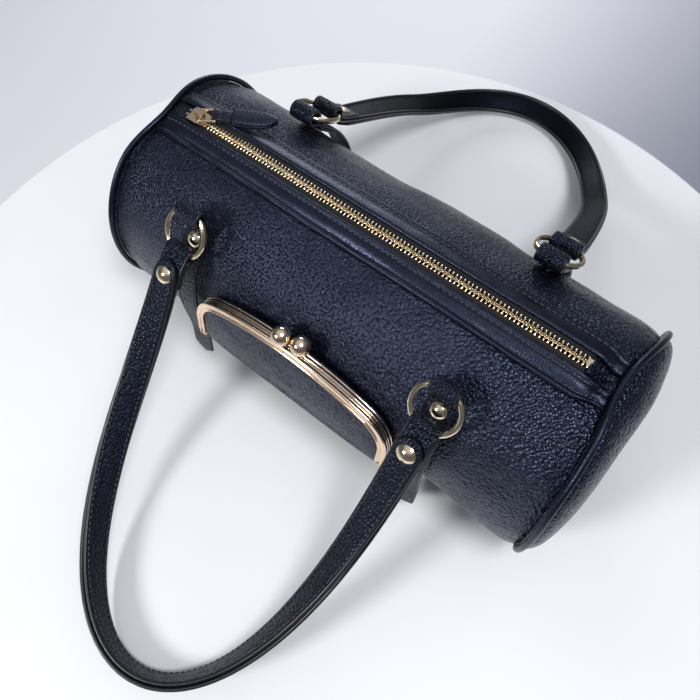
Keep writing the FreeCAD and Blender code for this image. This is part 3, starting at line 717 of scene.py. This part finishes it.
for hand, side in ((1, "right"), (-1, "left")):
    rings = []
    for k, (point, normal, s) in enumerate(seam_loop(hand * barrel_length / 2, 0)):
        thick = piping_radius + 0.08 * noise.noise(Vector((k * 0.13, hand * 5.0, 0.4)))
        point = point - normal * seam_dip(hand, s) - ALONG * (hand * seam_pull(hand, s))
        rings.append([point + (normal * math.cos(turn) + ALONG * math.sin(turn)) * thick
                      for turn in turns(14)])
    piece("piping_tube_" + side, loft(rings, loop=True), [smooth_leather], "bag",
          "piping_" + side)
    crown = end_crown_margin - base_corner
    rim = -piping_radius - 0.1
    rings = []
    for t in spread(0, 1, 26):
        ring = []
        x = barrel_length / 2 + end_height(t)
        for j, (point, normal, s) in enumerate(seam_loop(0, rim + (crown - rim) * t)):
            point = point - normal * (seam_dip(hand, s) * (1 - t) ** 2)
            drift = noise.noise(Vector((j * 0.05, 0, hand)))
            pucker = 0.22 * math.exp(-t / 0.12) * math.sin(j * 0.9 + 3 * drift)
            uneven = noise.noise(Vector((point.y * 0.035, point.z * 0.035, 9.0 * hand)))
            soft = 0.9 * t * (1 - 0.3 * t) * uneven
            drawn = seam_pull(hand, s) * (1 - t) ** 2
            ring.append(Vector((hand * (x + pucker + soft - drawn), point.y, point.z)))
        rings.append(ring)
    last = rings[-1]
    heart = sum(last, Vector()) / seam_steps
    for t in spread(0, 1, 12)[1:-1]:
        rings.append([p.lerp(heart, t) + ALONG * (hand * 1.2 * (1 - (1 - t) ** 2) ** 2) for p in last])
    back = [p - ALONG * (hand * leather) for p in rings[0]]
    piece("end_leather_" + side, loft([back] + rings), [body_leather], "bag",
          "end_panel_" + side)

# Zip tapes, each a thin band between two heights over the skin
for hand, side in ((1, "rear"), (-1, "front")):
    rings = []
    runs = (1.9, 3.2, 6.0, 9.5, 13.0)
    for x in spread(zip_start, zip_end, steps(zip_end - zip_start, 2.0)):
        rings.append([skin_point(x, hand * s, 0.1) for s in runs]
                     + [skin_point(x, hand * s, 0.6) for s in reversed(runs)])
    piece("tape_cloth_" + side, loft(rings), [tape_cloth], "bag", "zip_tape_" + side)

# Teeth: one rounded bar each, clasped on the tape's edge and reaching past the middle
# A tooth's sections are rows of distance from the middle, half width, lower and upper height
tooth_sections = ((2.75, 0.38, -0.8, 0.8), (2.55, 0.45, -1.0, 0.98), (1.2, 0.42, -1.08, 1.06),
                  (-0.1, 0.38, -1.08, 1.08), (-0.6, 0.34, -1.0, 1.0), (-0.8, 0.22, -0.8, 0.8))
for hand, side, shift in ((1, "rear", 0.0), (-1, "front", tooth_pitch / 2)):
    parts = []
    for k in range(tooth_count):
        x = row_start + tooth_pitch * (k + 0.5) + shift
        if x > row_end - 0.5:
            break
        rings = []
        for y, half, low, high in tooth_sections:
            corner = min(half, 0.28)
            inner = half - corner
            outline = [(half, low + corner), (half, high - corner), (inner, high), (-inner, high),
                       (-half, high - corner), (-half, low + corner), (-inner, low), (inner, low)]
            rings.append([Vector((x + a, hand * y, chain_height + b)) for a, b in outline])
        parts.append(loft(rings))
    piece("teeth_row_" + side, join_parts(parts), [gold], "bag", "zip_teeth_" + side)


# Facing strips beside the zip
def strip_run(x, s):
    """Run from the crest at which a strip's row lies; the strips narrow towards the right end."""
    return s - ease(111, 124, x) * 2.6 * (s - 4) / 11


# Rows of a strip's upper face, each a run from the crest and a height over the skin
strip_rows = {
    "front": [(4.9, 0.9), (5.0, 1.8), (5.5, 2.2), (6.2, 2.1), (6.9, 1.5), (7.6, 1.35), (8.3, 1.7),
              (9.4, 1.95), (11.0, 1.9), (12.4, 1.6), (13.2, 1.3), (13.7, 1.9), (14.2, 2.7), (14.9, 2.95),
              (15.5, 2.6), (15.9, 1.8), (15.9, 0.7)],
    "rear": [(4.9, 0.9), (5.0, 1.8), (5.6, 2.2), (7.0, 2.1), (9.0, 2.0), (11.2, 1.9), (12.2, 1.5),
             (12.9, 1.3), (13.6, 1.6), (14.4, 1.9), (15.1, 1.75), (15.5, 1.3), (15.5, 0.7)],
}
strip_stitches = Stitches()
for hand, side, seam_run in ((1, "rear", 12.9), (-1, "front", 7.5)):
    upper = strip_rows[side]
    rings = []
    for x in spread(-panel_end + 0.2, panel_end - 0.2, steps(2 * panel_end, 1.5)):
        ripple = 0.12 * noise.noise(Vector((x * 0.09, hand * 2.0, 0.7)))
        ring = []
        for s, lift in upper:
            run = strip_run(x, s) + 0.25 * noise.noise(Vector((x * 0.03, hand, s * 0.02)))
            ring.append(skin_point(x, hand * run, lift + ripple * (lift - 0.6)))
        for s, lift in reversed(upper[1:-1]):
            ring.append(skin_point(x, hand * strip_run(x, s), 0.65))
        rings.append(ring)
    piece("facing_strip_" + side, loft(rings), [smooth_leather], "bag",
          "zip_facing_" + side)
    path = []
    for x in spread(-panel_end + 1, panel_end - 11, 120):
        run = hand * strip_run(x, seam_run)
        point = skin_point(x, run, 1.5)
        path.append((point, (skin_point(x, run, 2.5) - point).normalized()))
    strip_stitches.row(path, pitch=3.0, length=2.1, radius=0.36)
strip_stitches.make("strip_stitching", "bag")

# Leather pieces over the zip's ends; the right one is crumpled
for side, x0, x1 in (("left", -panel_end, zip_start - 0.1), ("right", row_end + 0.2, panel_end)):
    rings = []
    for x in spread(x0, x1, 24):
        ring = []
        for s in spread(-cover_half, cover_half, 16):
            crumple = 0.0
            if side == "right":
                crumple = 0.6 * noise.noise(Vector((x * 0.55, s * 0.35, 4.0))) + 1.0 * (1 - ease(112, 117, x))
            edge = 1 - (abs(s) / cover_half) ** 6
            ring.append(skin_point(x, s, 0.55 + (0.75 + crumple) * edge))
        ring += [skin_point(x, s, 0.1) for s in spread(cover_half, -cover_half, 16)]
        rings.append(ring)
    piece("zip_end_leather_" + side, loft(rings), [strap_leather], "bag", "zip_end_" + side)

# Leaf-shaped leather pull on the bail
forward = Vector((math.cos(pull_pitch) * math.cos(pull_yaw), math.cos(pull_pitch) * math.sin(pull_yaw),
                  -math.sin(pull_pitch)))
pull_side = Vector((-math.sin(pull_yaw), math.cos(pull_yaw), 0))
pull_lift = forward.cross(pull_side)


def leaf_half(t):
    """Half width of the leaf along its length, from its waist to its blunt point."""
    rows = ((leaf_start, 3.5), (8.8, 4.5), (11.0, 5.0), (15.0, 5.3), (19.0, 5.3), (22.5, 4.9), (25.5, 4.1),
            (28.0, 2.8), (leaf_tip, 0.9))
    for (a, wa), (b, wb) in zip(rows, rows[1:]):
        if t <= b:
            u = clamp((t - a) / (b - a), 0, 1)
            return wa + (wb - wa) * u
    return rows[-1][1]


def leaf_point(t, a, lift):
    droop = -0.5 * ease(leaf_start, leaf_tip, t)
    sway = 1.4 * (clamp(t, 0, leaf_tip) / leaf_tip) ** 2
    return leaf_pivot + forward * t + pull_side * (a + sway) + pull_lift * (lift + droop)


# The neck runs from the leaf over the bail and back under the leaf
stations = [(leaf_point(t, 0, 0.5), pull_side, pull_lift, 1.0) for t in (9.0, 6.0, 3.0, 0.0)]
for turn in spread(0, math.pi, 12)[1:]:
    way = pull_lift * math.cos(turn) - forward * math.sin(turn)
    stations.append((leaf_pivot + way * leaf_roll, pull_side, way, 1.0))
for t in (1.5, 3.0, 5.0, 7.0, 9.0):
    drop = -leaf_roll + 1.0 * ease(0, 3, t)
    stations.append((leaf_point(t, 0, drop), pull_side, -pull_lift, 1.0))
shape = ribbon(stations, strap_profile(neck_width, 1.0, edge=0.4, crown=0.12, flats=6, arcs=4))
piece("pull_neck", shape, [smooth_leather, edge_paint], "zip_leaf", "zip_pull_tab")
for layer, low, high, share, crown in (("upper", 0.55, 1.5, 0.95, 0.35), ("lower", -1.0, 0.45, 1.0, 0.0)):
    rings = []
    for t in spread(leaf_start, leaf_tip + 0.2, 44):
        half = leaf_half(t) * share
        ring = []
        for a in spread(-half, half, 12):
            dome = crown * (1 - (a / half) ** 2)
            edge = 0.22 * (abs(a) / half) ** 8
            ring.append(leaf_point(t, a, high + dome - edge))
        for a in spread(half, -half, 12):
            ring.append(leaf_point(t, a, low + 0.15 * (abs(a) / half) ** 8))
        rings.append(ring)
    piece("pull_leaf_" + layer, loft(rings), [smooth_leather], "zip_leaf")
pull_stitches = Stitches()
for hand in (1, -1):
    path = []
    for t in spread(9.0, 28.6, 40):
        path.append((leaf_point(t, hand * max(0.3, leaf_half(t) * 0.95 - 1.1), 1.62), pull_lift))
    pull_stitches.row(path, pitch=2.2, length=1.5, radius=0.3)
pull_stitches.make("pull_stitching", "zip_leaf")

# Chapes that carry the rings
close_turn = math.radians(close_angle)
close_drop = close_radius * (1 - math.cos(close_turn))


def bore_axis(width):
    """Where a strap of a width sits on a ring's wire, from the ring's outside, and the bore that it needs."""
    inner = math.sqrt(ring_inner ** 2 - (width / 2) ** 2)
    return (ring_outer + inner) / 2, (ring_outer - inner) / 2 + 0.3


chape_axis, chape_bore = bore_axis(chape_width)
strap_axis, strap_bore = bore_axis(strap_width)
chape_loop = chape_bore + chape_leather / 2
close_run = (chape_loop * (1 + math.cos(close_turn)) - close_drop - chape_step) / math.sin(close_turn)
close_length = (chape_loop + close_radius) * math.sin(close_turn) + close_run * math.cos(close_turn)
crest = Vector((0, 0, axis_height))


def chape_fold(leave, lift):
    heading = 90 + leave
    stand = heading - lift
    centre = crest + aim(leave) * chape_run - aim(heading + 90) * lift_radius
    end = centre + aim(stand + 90) * lift_radius
    return end + aim(stand) * chape_stand + aim(stand + 90) * chape_loop


@dataclass
class Loop:
    """Leather loop drawn closer round a ring's wire than its straight bore."""

    centre: Vector
    bore: float
    snug: float

    def draw(self, point):
        """The point drawn in towards the wire, less and less away from the loop."""
        arm = point - self.centre
        hold = bell(max(0.0, arm.length - self.bore), loop_grip)
        return self.centre + arm * (1 - (1 - self.snug / self.bore) * hold)


def chape_stations(leave, lift, shift, flip, tail_curl, loop):
    moves = [
        (axis_height - tail_height, 0), (chape_run, leave), (lift_radius, -lift), (chape_stand, 0),
        (chape_loop, 180 + close_angle), (close_run, 0), (close_radius, -close_angle),
        (chape_stand - close_length, 0), (lift_radius + chape_step, lift), (chape_run - chape_step, -11.0),
    ]
    rows = walk(Vector((0, chape_run, tail_height)), 90, moves, 1.2)
    stations = []
    for point, heading in rows:
        normal = -aim(heading + 90)
        point = loop.draw(point)
        factor = 1.0
        if heading == 90 and point.z < tail_height + tail_point:
            factor = clamp(0.12 + 0.88 * (point.z - tail_height) / tail_point, 0.12, 1.0)
        away = tail_curl * ease(34, tail_height, point.z) if heading == 90 else 0.0
        point = point + ALONG * shift + OUT * away
        if flip:
            stations.append((turned(point), turned(ALONG), turned(normal), factor))
        else:
            stations.append((point, ALONG.copy(), normal, factor))
    return stations


chape_profile = strap_profile(chape_width, chape_leather, edge=0.7, crown=0.12, flats=8)
chape_stitches = Stitches()
folds = {}
leave = 47.5
for end, lift, slope, snug, tail_curl in (("rear", 40.0, 31.0, 3.7, 0.2), ("front", 76.0, 52.0, 3.1, 3.0)):
    fold = chape_fold(leave, lift)
    folds[end] = (fold, slope)
    loop = Loop(fold, chape_loop, snug)
    flip = end == "front"
    for side, shift in (("right", ring_half), ("left", -ring_half)):
        stations = chape_stations(leave, lift, -shift if flip else shift, flip, tail_curl, loop)
        piece("chape_leather_%s_%s" % (end, side), ribbon(stations, chape_profile), strap_finish, "bag",
              "chape_%s_%s" % (end, side))
        for edge in (-1, 1):
            path = []
            for point, across, normal, factor in stations[4:]:
                if stitch_low <= point.z <= stitch_high and len(path) <= stitch_limit:
                    inward = edge * (chape_width / 2 - 1.7)
                    path.append((point + across * inward + normal * 0.86, normal))
            chape_stitches.row(path, pitch=3.0, length=2.1, radius=0.22)
chape_stitches.make("chape_stitching", "bag")

# Handles: two layers along the draped loop, with the base strap rolled round each ring
strap_loop = strap_bore + strap_base / 2
strap_stack = strap_base / 2 + layer_gap + strap_face


@dataclass
class Route:
    """Shape of one handle's loop, from the ring down its slope and round the floor."""

    rivet_reach: float
    slope: float
    run_share: float
    reach: float
    roundness: float
    lean: float
    lean_power: float
    twist: float

    def __post_init__(self):
        self.straight = self.rivet_reach + rivet_margin
        self.twist = math.radians(self.twist)
        edge_drop = strap_width / 2 * math.sin(self.twist)
        self.tip_height = edge_drop + strap_stack * math.cos(self.twist) + floor_gap


def drape(start, route, reach):
    """Point and downward angle of the strap's middle line at a distance from its ring."""
    slope = route.slope
    steep = math.radians(slope)
    drop = start.z - route.tip_height
    down = route.straight + (drop / math.sin(steep) - route.straight) * route.run_share
    bend_radius = (drop - down * math.sin(steep)) / (1 - math.cos(steep))
    first = min(reach, down)
    bend = min(max(reach - down, 0) / bend_radius, steep)
    flat = max(reach - down - bend_radius * steep, 0)
    point = start + aim(-slope) * first
    if bend > 0:
        centre = start + aim(-slope) * down + aim(90 - slope) * bend_radius
        point = centre - aim(90 - slope + math.degrees(bend)) * bend_radius
    return point + OUT * flat, math.degrees(bend) - slope


def loop_stations(start, route, first_reach):
    """Stations of the strap's middle line all round the handle: (point, side, lift, factor)."""
    reach_left = route.reach - route.straight
    rows = []
    lead = 10
    approach = spread(first_reach, route.straight, lead)[:-1]
    rows += [(ring_half, reach, 0) for reach in approach]
    for angle in spread(0, math.pi, 150):
        along = abs(math.sin(angle)) ** (2 / route.roundness)
        rows.append((ring_half * math.cos(angle), route.straight + reach_left * along, along))
    rows += [(-ring_half, reach, 0) for reach in reversed(approach)]
    places = []
    for x, reach, along in rows:
        point, dip = drape(start, route, reach)
        places.append((point + ALONG * (x - route.lean * along ** route.lean_power), dip, along))
    stations = []
    for k, (point, dip, along) in enumerate(places):
        normal = aim(90 + dip)
        if k <= lead:
            tangent = aim(dip)
        elif k >= len(places) - lead - 1:
            tangent = -aim(dip)
        else:
            tangent = places[k + 1][0] - places[k - 1][0]
        tangent = (tangent - normal * tangent.dot(normal)).normalized()
        outer = tangent.cross(normal)
        roll = route.twist * along
        lift = normal * math.cos(roll) - outer * math.sin(roll)
        side = outer * math.cos(roll) + normal * math.sin(roll)
        stations.append((point, side, lift, 1.0))
    return stations


def seated(stations, ring_loop, flip):
    """Stations drawn in towards the ring's wire, and turned to the front of the bag where flip says so."""
    rows = []
    for p, s, n, w in stations:
        near = ring_loop.draw(Vector((0, p.y, p.z)))
        row = (Vector((p.x, near.y, near.z)), s, n)
        rows.append((*(turned(v) for v in row), w) if flip else (*row, w))
    return rows


# The roll round a ring closes on the strap at an angle, through a small reverse bend
roll_turn = math.radians(roll_angle)
roll_rise = (strap_loop - strap_base - layer_gap + strap_loop * math.cos(roll_turn)
             - roll_radius * (1 - math.cos(roll_turn)))
roll_close = roll_rise / math.sin(roll_turn)
roll_used = (strap_loop + roll_radius) * math.sin(roll_turn) + roll_close * math.cos(roll_turn)
roll_profile = strap_profile(strap_width, roll_leather, edge=0.7, crown=0.1, flats=8)

# The face strap ends in half rounds: how far each station lies beyond the end, and its share of the width
face_width = strap_width - 0.8
end_rounds = [(face_width / 2 * (1 - t), max(0.1, math.sqrt(max(0.0, 1 - (1 - t) ** 2))))
              for t in (0.0, 0.04, 0.12, 0.25, 0.42, 0.6, 0.8)]

front_route = Route(rivet_reach=12.0, slope=50.0, run_share=0.015, reach=185.5, roundness=2.67, lean=13.8,
                    lean_power=2.2, twist=82.0)
rear_route = Route(rivet_reach=16.0, slope=35.0, run_share=0.675, reach=180.0, roundness=3.3, lean=13.6,
                   lean_power=1.0, twist=37.5)
for end, route, face, snug in (("rear", rear_route, -1, 3.2), ("front", front_route, 1, 2.7)):
    fold, ring_slope = folds[end]
    slope = route.slope
    axis = fold + aim(-ring_slope) * (chape_axis + strap_axis)
    start = axis + aim(90 - slope) * (face * strap_loop)
    flip = end == "front"
    ring_loop = Loop(axis, strap_loop, snug)
    body = "handle_" + end

    # Base strap: the rear one shows its underside, with a raised rim along each edge
    if face < 0:
        profile, top = rimmed_profile(strap_width, strap_base, rim=1.7, rise=0.55), under_leather
    else:
        profile, top = strap_profile(strap_width, strap_base, edge=0.9), strap_leather
    shape = ribbon(seated(loop_stations(start, route, 0), ring_loop, flip), profile)
    piece("handle_base_strap_" + end, shape, [top, edge_paint], body,
          "handle_%s_base" % end)

    moves = [(strap_loop, face * (180 + roll_angle)), (roll_close, 0), (roll_radius, -face * roll_angle),
             (route.rivet_reach + roll_margin - roll_used, 0)]
    roll_rows = walk(start, 180 - slope, moves, 0.9)
    for side, shift in (("right", ring_half), ("left", -ring_half)):
        stations = []
        for point, heading in roll_rows:
            stations.append((point + ALONG * shift, ALONG.copy(), aim(heading + 90) * -face, 1.0))
        shape = ribbon(seated(stations, ring_loop, flip), roll_profile)
        piece("handle_roll_%s_%s" % (end, side), shape, strap_finish, body)

    # Face strap, crowned on its outer side
    cover = loop_stations(start, route, route.rivet_reach)
    (p0, s0, n0, _), (p1, s1, n1, _) = cover[0], cover[-1]
    head = [(p0 - aim(-slope) * back, s0, n0, factor) for back, factor in end_rounds]
    tail = [(p1 - aim(-slope) * back, s1, n1, factor) for back, factor in reversed(end_rounds)]
    middle = (strap_base / 2 + layer_gap + strap_face / 2) * face
    rows = [(p + n * middle, s, n, w) for p, s, n, w in head + cover + tail]
    crown, dish = (0.35, 0.0) if face > 0 else (0.0, -0.35)
    profile = strap_profile(face_width, strap_face, edge=1.0, crown=crown, dish=dish)
    shape = ribbon(seated(rows, ring_loop, flip), profile)
    piece("handle_face_strap_" + end, shape, strap_finish, body, "handle_%s_face" % end)
    handle_stitches = Stitches()
    for edge in (-1, 1):
        path = []
        for p, s, n, w in rows[len(head) + 6:len(rows) - len(tail) - 6]:
            spot = p + s * (edge * (face_width / 2 - 1.9)) + n * (face * (strap_face / 2 + 0.15))
            path.append((turned(spot), turned(n * face)) if flip else (spot, n * face))
        handle_stitches.row(path, pitch=3.0, length=2.0, radius=0.32)
    handle_stitches.make("handle_stitching_" + end, body)


# Kiss-lock pocket, drawn upright in its own frame and leaned against the front
def lean(p):
    """Point of the upright pocket in its place on the bag."""
    cos, sin = math.cos(frame_tilt), math.sin(frame_tilt)
    y, z = p.y * cos - p.z * sin, p.y * sin + p.z * cos
    skin_y = cos * barrel_radius
    skin_z = axis_height + sin * barrel_radius
    rise = (frame_foot_height - skin_z) / cos
    return turned(Vector((p.x, y + skin_y - sin * rise, z + skin_z + cos * rise)))


def arc(x, z, radius, a, b, count):
    """Points and outward directions along an arc in the pocket's plane."""
    ways = [Vector((math.cos(turn), 0, math.sin(turn))) for turn in spread(a, b, count)]
    return [(Vector((x, 0, z)) + way * radius, way) for way in ways]


def arch_path(inset, foot, count):
    """Points and outward directions along the frame's arch from one foot to the other."""
    wide = frame_half_width - inset
    corner = frame_corner - inset
    crown = frame_crown - inset
    centre_x = wide - corner
    crown_z = frame_rise - inset - crown
    corner_z = crown_z + math.sqrt((crown - corner) ** 2 - centre_x ** 2)
    turn = math.atan2(corner_z - crown_z, centre_x)
    rows = [(Vector((wide, 0, z)), ALONG) for z in spread(foot, corner_z, max(2, count // 6))[:-1]]
    rows += arc(centre_x, corner_z, corner, 0, turn, max(4, count // 4))[:-1]
    rows += arc(0, crown_z, crown, turn, math.pi / 2, max(6, count // 2))
    left = [(Vector((-p.x, 0, p.z)), Vector((-w.x, 0, w.z))) for p, w in reversed(rows[:-1])]
    return rows + left


def frame_sweep(name, body, rows, foot, material):
    """Section of (inset, depth) rows swept along the arch."""
    rings = []
    for point, way in arch_path(0, foot, 72):
        rings.append([lean(point - way * inset + OUT * depth) for inset, depth in rows])
    piece(name, loft(rings), [material], body)


def frame_bead(name, body, inset, depth, radius):
    """Rounded metal rail along the arch."""
    rows = [(inset + radius * math.cos(turn), depth + radius * math.sin(turn)) for turn in turns(10)]
    frame_sweep(name, body, rows, 2.9, rose_gold)


def frame_groove_shade(name, body, inset, low, high):
    """Dark leather strip filling the groove between two rails: painted shade of the groove, seen as a dark
    line.
    """
    rows = ((inset, low), (inset, high), (1.0, high), (1.0, low))
    frame_sweep(name, body, rows, 3.4, smooth_leather)


rear_front = frame_back + frame_depth
frame_bead("frame_bead_rear_outer", "bag", inset=0.25, depth=frame_back + 0.55, radius=0.6)
frame_bead("frame_bead_rear_inner", "bag", inset=0.3, depth=rear_front - 0.5, radius=0.5)
# Dark strips of painted shade in the grooves between the frame's rails
frame_groove_shade("frame_groove_shade_rear", "bag", inset=-0.12, low=frame_back + 1.15, high=rear_front - 1.0)
frame_bead("frame_bead_front_inner", "pocket_flap", inset=0.35, depth=front_back + 0.5, radius=0.5)
frame_bead("frame_bead_front_outer", "pocket_flap", inset=0.4, depth=front_face - 0.7, radius=0.8)
frame_groove_shade("frame_groove_shade_front", "pocket_flap", inset=-0.08, low=front_back + 0.98,
              high=front_face - 1.42)
frame_bead("frame_bead_front_lip", "pocket_flap", inset=frame_band - 0.6, depth=front_face - 0.1, radius=0.6)

# Pocket leather: back behind the frame, soft front that runs down over the hinge, and the pouch
path = arch_path(0.6, front_foot, 60)
shape = loft([[lean(p + OUT * depth) for p, w in path] for depth in (0.1, 1.3)])
piece("pocket_back_leather", shape, [strap_leather], "bag", "pocket_back")

inner_path = arch_path(frame_band - 0.6, front_foot, 60)


def arch_top(x):
    """Height of the arch's inner edge over the foot line at one place across."""
    best = front_foot
    for (a, u), (b, w) in zip(inner_path, inner_path[1:]):
        low, high = min(a.x, b.x), max(a.x, b.x)
        if low <= x <= high and high > low:
            t = (x - a.x) / (b.x - a.x)
            best = max(best, a.z + (b.z - a.z) * t)
    return best


front_wide = frame_half_width - frame_band + 0.4
across = 80
upper_rows = 26
lower_rows = 10
points = []
for i in range(upper_rows + lower_rows + 1):
    for u in spread(-1, 1, across):
        x = front_wide * math.copysign(1 - (1 - abs(u)) ** 1.35, u)
        bow = 1 - abs(u) ** 5
        if i <= upper_rows:
            t = i / upper_rows
            z = arch_top(clamp(x, -front_wide + 0.3, front_wide - 0.3)) * (1 - t) + front_foot * t
            puff = front_puff * math.sin(math.pi * min(1.0, 0.1 + 0.75 * t)) * bow
            crease = 0.3 * noise.noise(Vector((x * 0.08, z * 0.12, 2.0)))
            points.append(lean(Vector((x, front_face - 1.4 + puff + crease, z))))
        else:
            t = (i - upper_rows) / lower_rows
            puff = front_puff * math.sin(math.pi * 0.85) * bow
            hinge = lean(Vector((x, front_face - 1.4 + puff, front_foot)))
            rim = Vector((-x * (pouch_half - 0.6) / front_wide, -pouch_rim_y - 0.2, pouch_top - 0.6))
            p = hinge.lerp(rim, t)
            p.y -= 0.9 * math.sin(math.pi * t) * bow
            points.append(p)
shape = points, grid_faces(upper_rows + lower_rows, across)
front_leather = piece("pocket_front_leather", shape, [pocket_leather_painted_glare], None,
                      "pocket_front")
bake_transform(front_leather)
add_wall(front_leather, pocket_leather_wall)

pouch_rows = 30
points = []
foot_y = math.sqrt(pouch_seat ** 2 - (axis_height - pouch_low) ** 2)
for t in spread(0, 1, pouch_rows):
    z = pouch_top + (pouch_low - pouch_top) * t
    depth = clamp((pouch_corner - (z - pouch_low)) / pouch_corner, 0, 1)
    wide = pouch_half - pouch_corner * (1 - math.sqrt(max(0.0, 1 - depth ** 2)))
    skin_y = math.sqrt(pouch_seat ** 2 - (axis_height - z) ** 2)
    chord = pouch_rim_y + (foot_y - pouch_rim_y) * t
    bulge = 4.2 * math.sin(math.pi * t)
    for u in spread(-1, 1, across):
        x = wide * math.copysign(1 - (1 - abs(u)) ** 1.5, u)
        puff = 0.4 * noise.noise(Vector((x * 0.05, z * 0.08, 6.0)))
        rim = max(0.0, chord + bulge + puff * (1 - abs(u) ** 4) - skin_y)
        points.append(Vector((x, -(skin_y + 0.25 + rim * (1 - abs(u) ** 7)), z)))
shape = points, grid_faces(pouch_rows, across)
pouch = piece("pouch_leather", shape, [pocket_leather_painted_glare], "bag", "pocket_pouch")
add_wall(pouch, pocket_leather_wall)

# Finishes of the CAD nodes, whose metal still shows
slots = {part["node"]: part["material_slot"] for part in frame["record"]["subparts"]}
finishes = {"gold_metal": gold, "rose_gold_metal": rose_gold, "pebbled_leather": body_leather,
            "smooth_leather": smooth_leather, "lining_fabric": lining_cloth, "tape_fabric": tape_cloth}
for node, obj in frame["nodes"].items():
    obj.data.materials.clear()
    obj.data.materials.append(gold_back if node.startswith("handle_rivet_rear") else finishes[slots[node]])

# Table, floor and surroundings
mat = Surface("table_white")
haze = mat.ramp(mat.noise(9.0, 3.0, 0.5), (0.3, (0.83, 0.84, 0.87)), (0.7, (0.87, 0.875, 0.90)))
table_white = mat.finish({"Base Color": haze, "Roughness": 0.45})
mat = Surface("floor_grey")
# Painted shade: the floor grows darker towards +x, where the light falls off across the backdrop, with faint
# random tone from noise
painted_floor_shade = mat.mix((mat.remap(mat.across(), -0.35, 0.08, 0.0, 0.9), 1), (mat.noise(2.0, 2.0, 0.5), 0.1))
painted_floor_shade = mat.ramp(painted_floor_shade, (0.0, (0.90, 0.905, 0.95)), (1.0, (0.33, 0.34, 0.42)))
floor_grey = mat.finish({"Base Color": painted_floor_shade, "Roughness": 0.8})

table_centre = Vector((12.0, -46.0, 0.0))
table_rows = ((0.5, -0.05), (277.6, -0.05), (278.6, -0.4), (279.0, -1.4), (279.0, -17.0), (276.0, -18.0),
              (0.5, -18.0))
points, faces = loft([
    [table_centre + Vector((radius * math.cos(turn), radius * math.sin(turn), z)) for turn in turns(256)]
    for radius, z in table_rows
])
new_object("table_top", points, faces, [table_white])
floor_level = -450
floor_half = 6000
corners = [Vector((x * floor_half, y * floor_half, floor_level))
           for x, y in ((-1, -1), (1, -1), (1, 1), (-1, 1))]
new_object("floor", corners, [(0, 1, 2, 3)], [floor_grey])

scene = bpy.context.scene
scene.view_settings.view_transform = "Standard"
world = bpy.data.worlds.new("studio")
world.use_nodes = True
scene.world = world
sky = Nodes(world.node_tree)
view = sky.add("TexCoord", {}).outputs["Generated"]
height = sky.add("SeparateXYZ", {"Vector": view}).outputs["Z"]
levels = ((0.0, 0.16), (0.30, 0.12), (0.62, 0.18), (0.82, 0.56), (1.0, 0.68))
bands = [(position, (level, level * 1.03, level * 1.12)) for position, level in levels]
sky.feed(sky.nodes["Background"], {"Color": sky.ramp(height, *bands), "Strength": 0.82})


# Lamps, with places and sizes in metres
def soft_light(name, spot, target, size, power, colour):
    lamp = bpy.data.lights.new(name, "AREA")
    lamp.shape = "DISK"
    lamp.size = size
    lamp.energy = power
    lamp.color = colour
    way = Vector(target) - Vector(spot)
    aimed = way.to_track_quat("-Z", "Y").to_matrix().to_4x4()
    place(name, lamp).matrix_world = Matrix.Translation(Vector(spot)) @ aimed


soft_light("key", (-0.38, -1.0, 0.78), (0, -0.03, 0.05), size=0.3, power=9.0, colour=(1.0, 0.99, 0.97))
soft_light("overhead", (0.50, -0.10, 1.30), (0.10, -0.05, 0), size=0.45, power=8.5, colour=(0.97, 0.98, 1.0))
soft_light("floor_wash", (-0.9, 1.5, 0.6), (-0.5, 0.7, -0.45), size=0.8, power=9.5, colour=(0.97, 0.98, 1.0))

# Camera at the photograph's viewing angle
azimuth, elevation, roll = (math.radians(v) for v in (42.879, 64.353, -4.754))
level = math.cos(elevation)
back = Vector((math.sin(azimuth) * level, -math.cos(azimuth) * level, math.sin(elevation)))
right = Vector((math.cos(azimuth), math.sin(azimuth), 0))
over = back.cross(right)
right, over = right * math.cos(roll) + over * math.sin(roll), over * math.cos(roll) - right * math.sin(roll)
lens = bpy.data.cameras.new("camera")
lens.sensor_width = 36.0
lens.lens = 34.158
lens.clip_start = 0.01
camera = place("camera", lens)
eye = (0.11047, -0.13983, 0.35855)
camera.matrix_world = Matrix([*zip(right, over, back, eye), (0, 0, 0, 1)])
scene.camera = camera
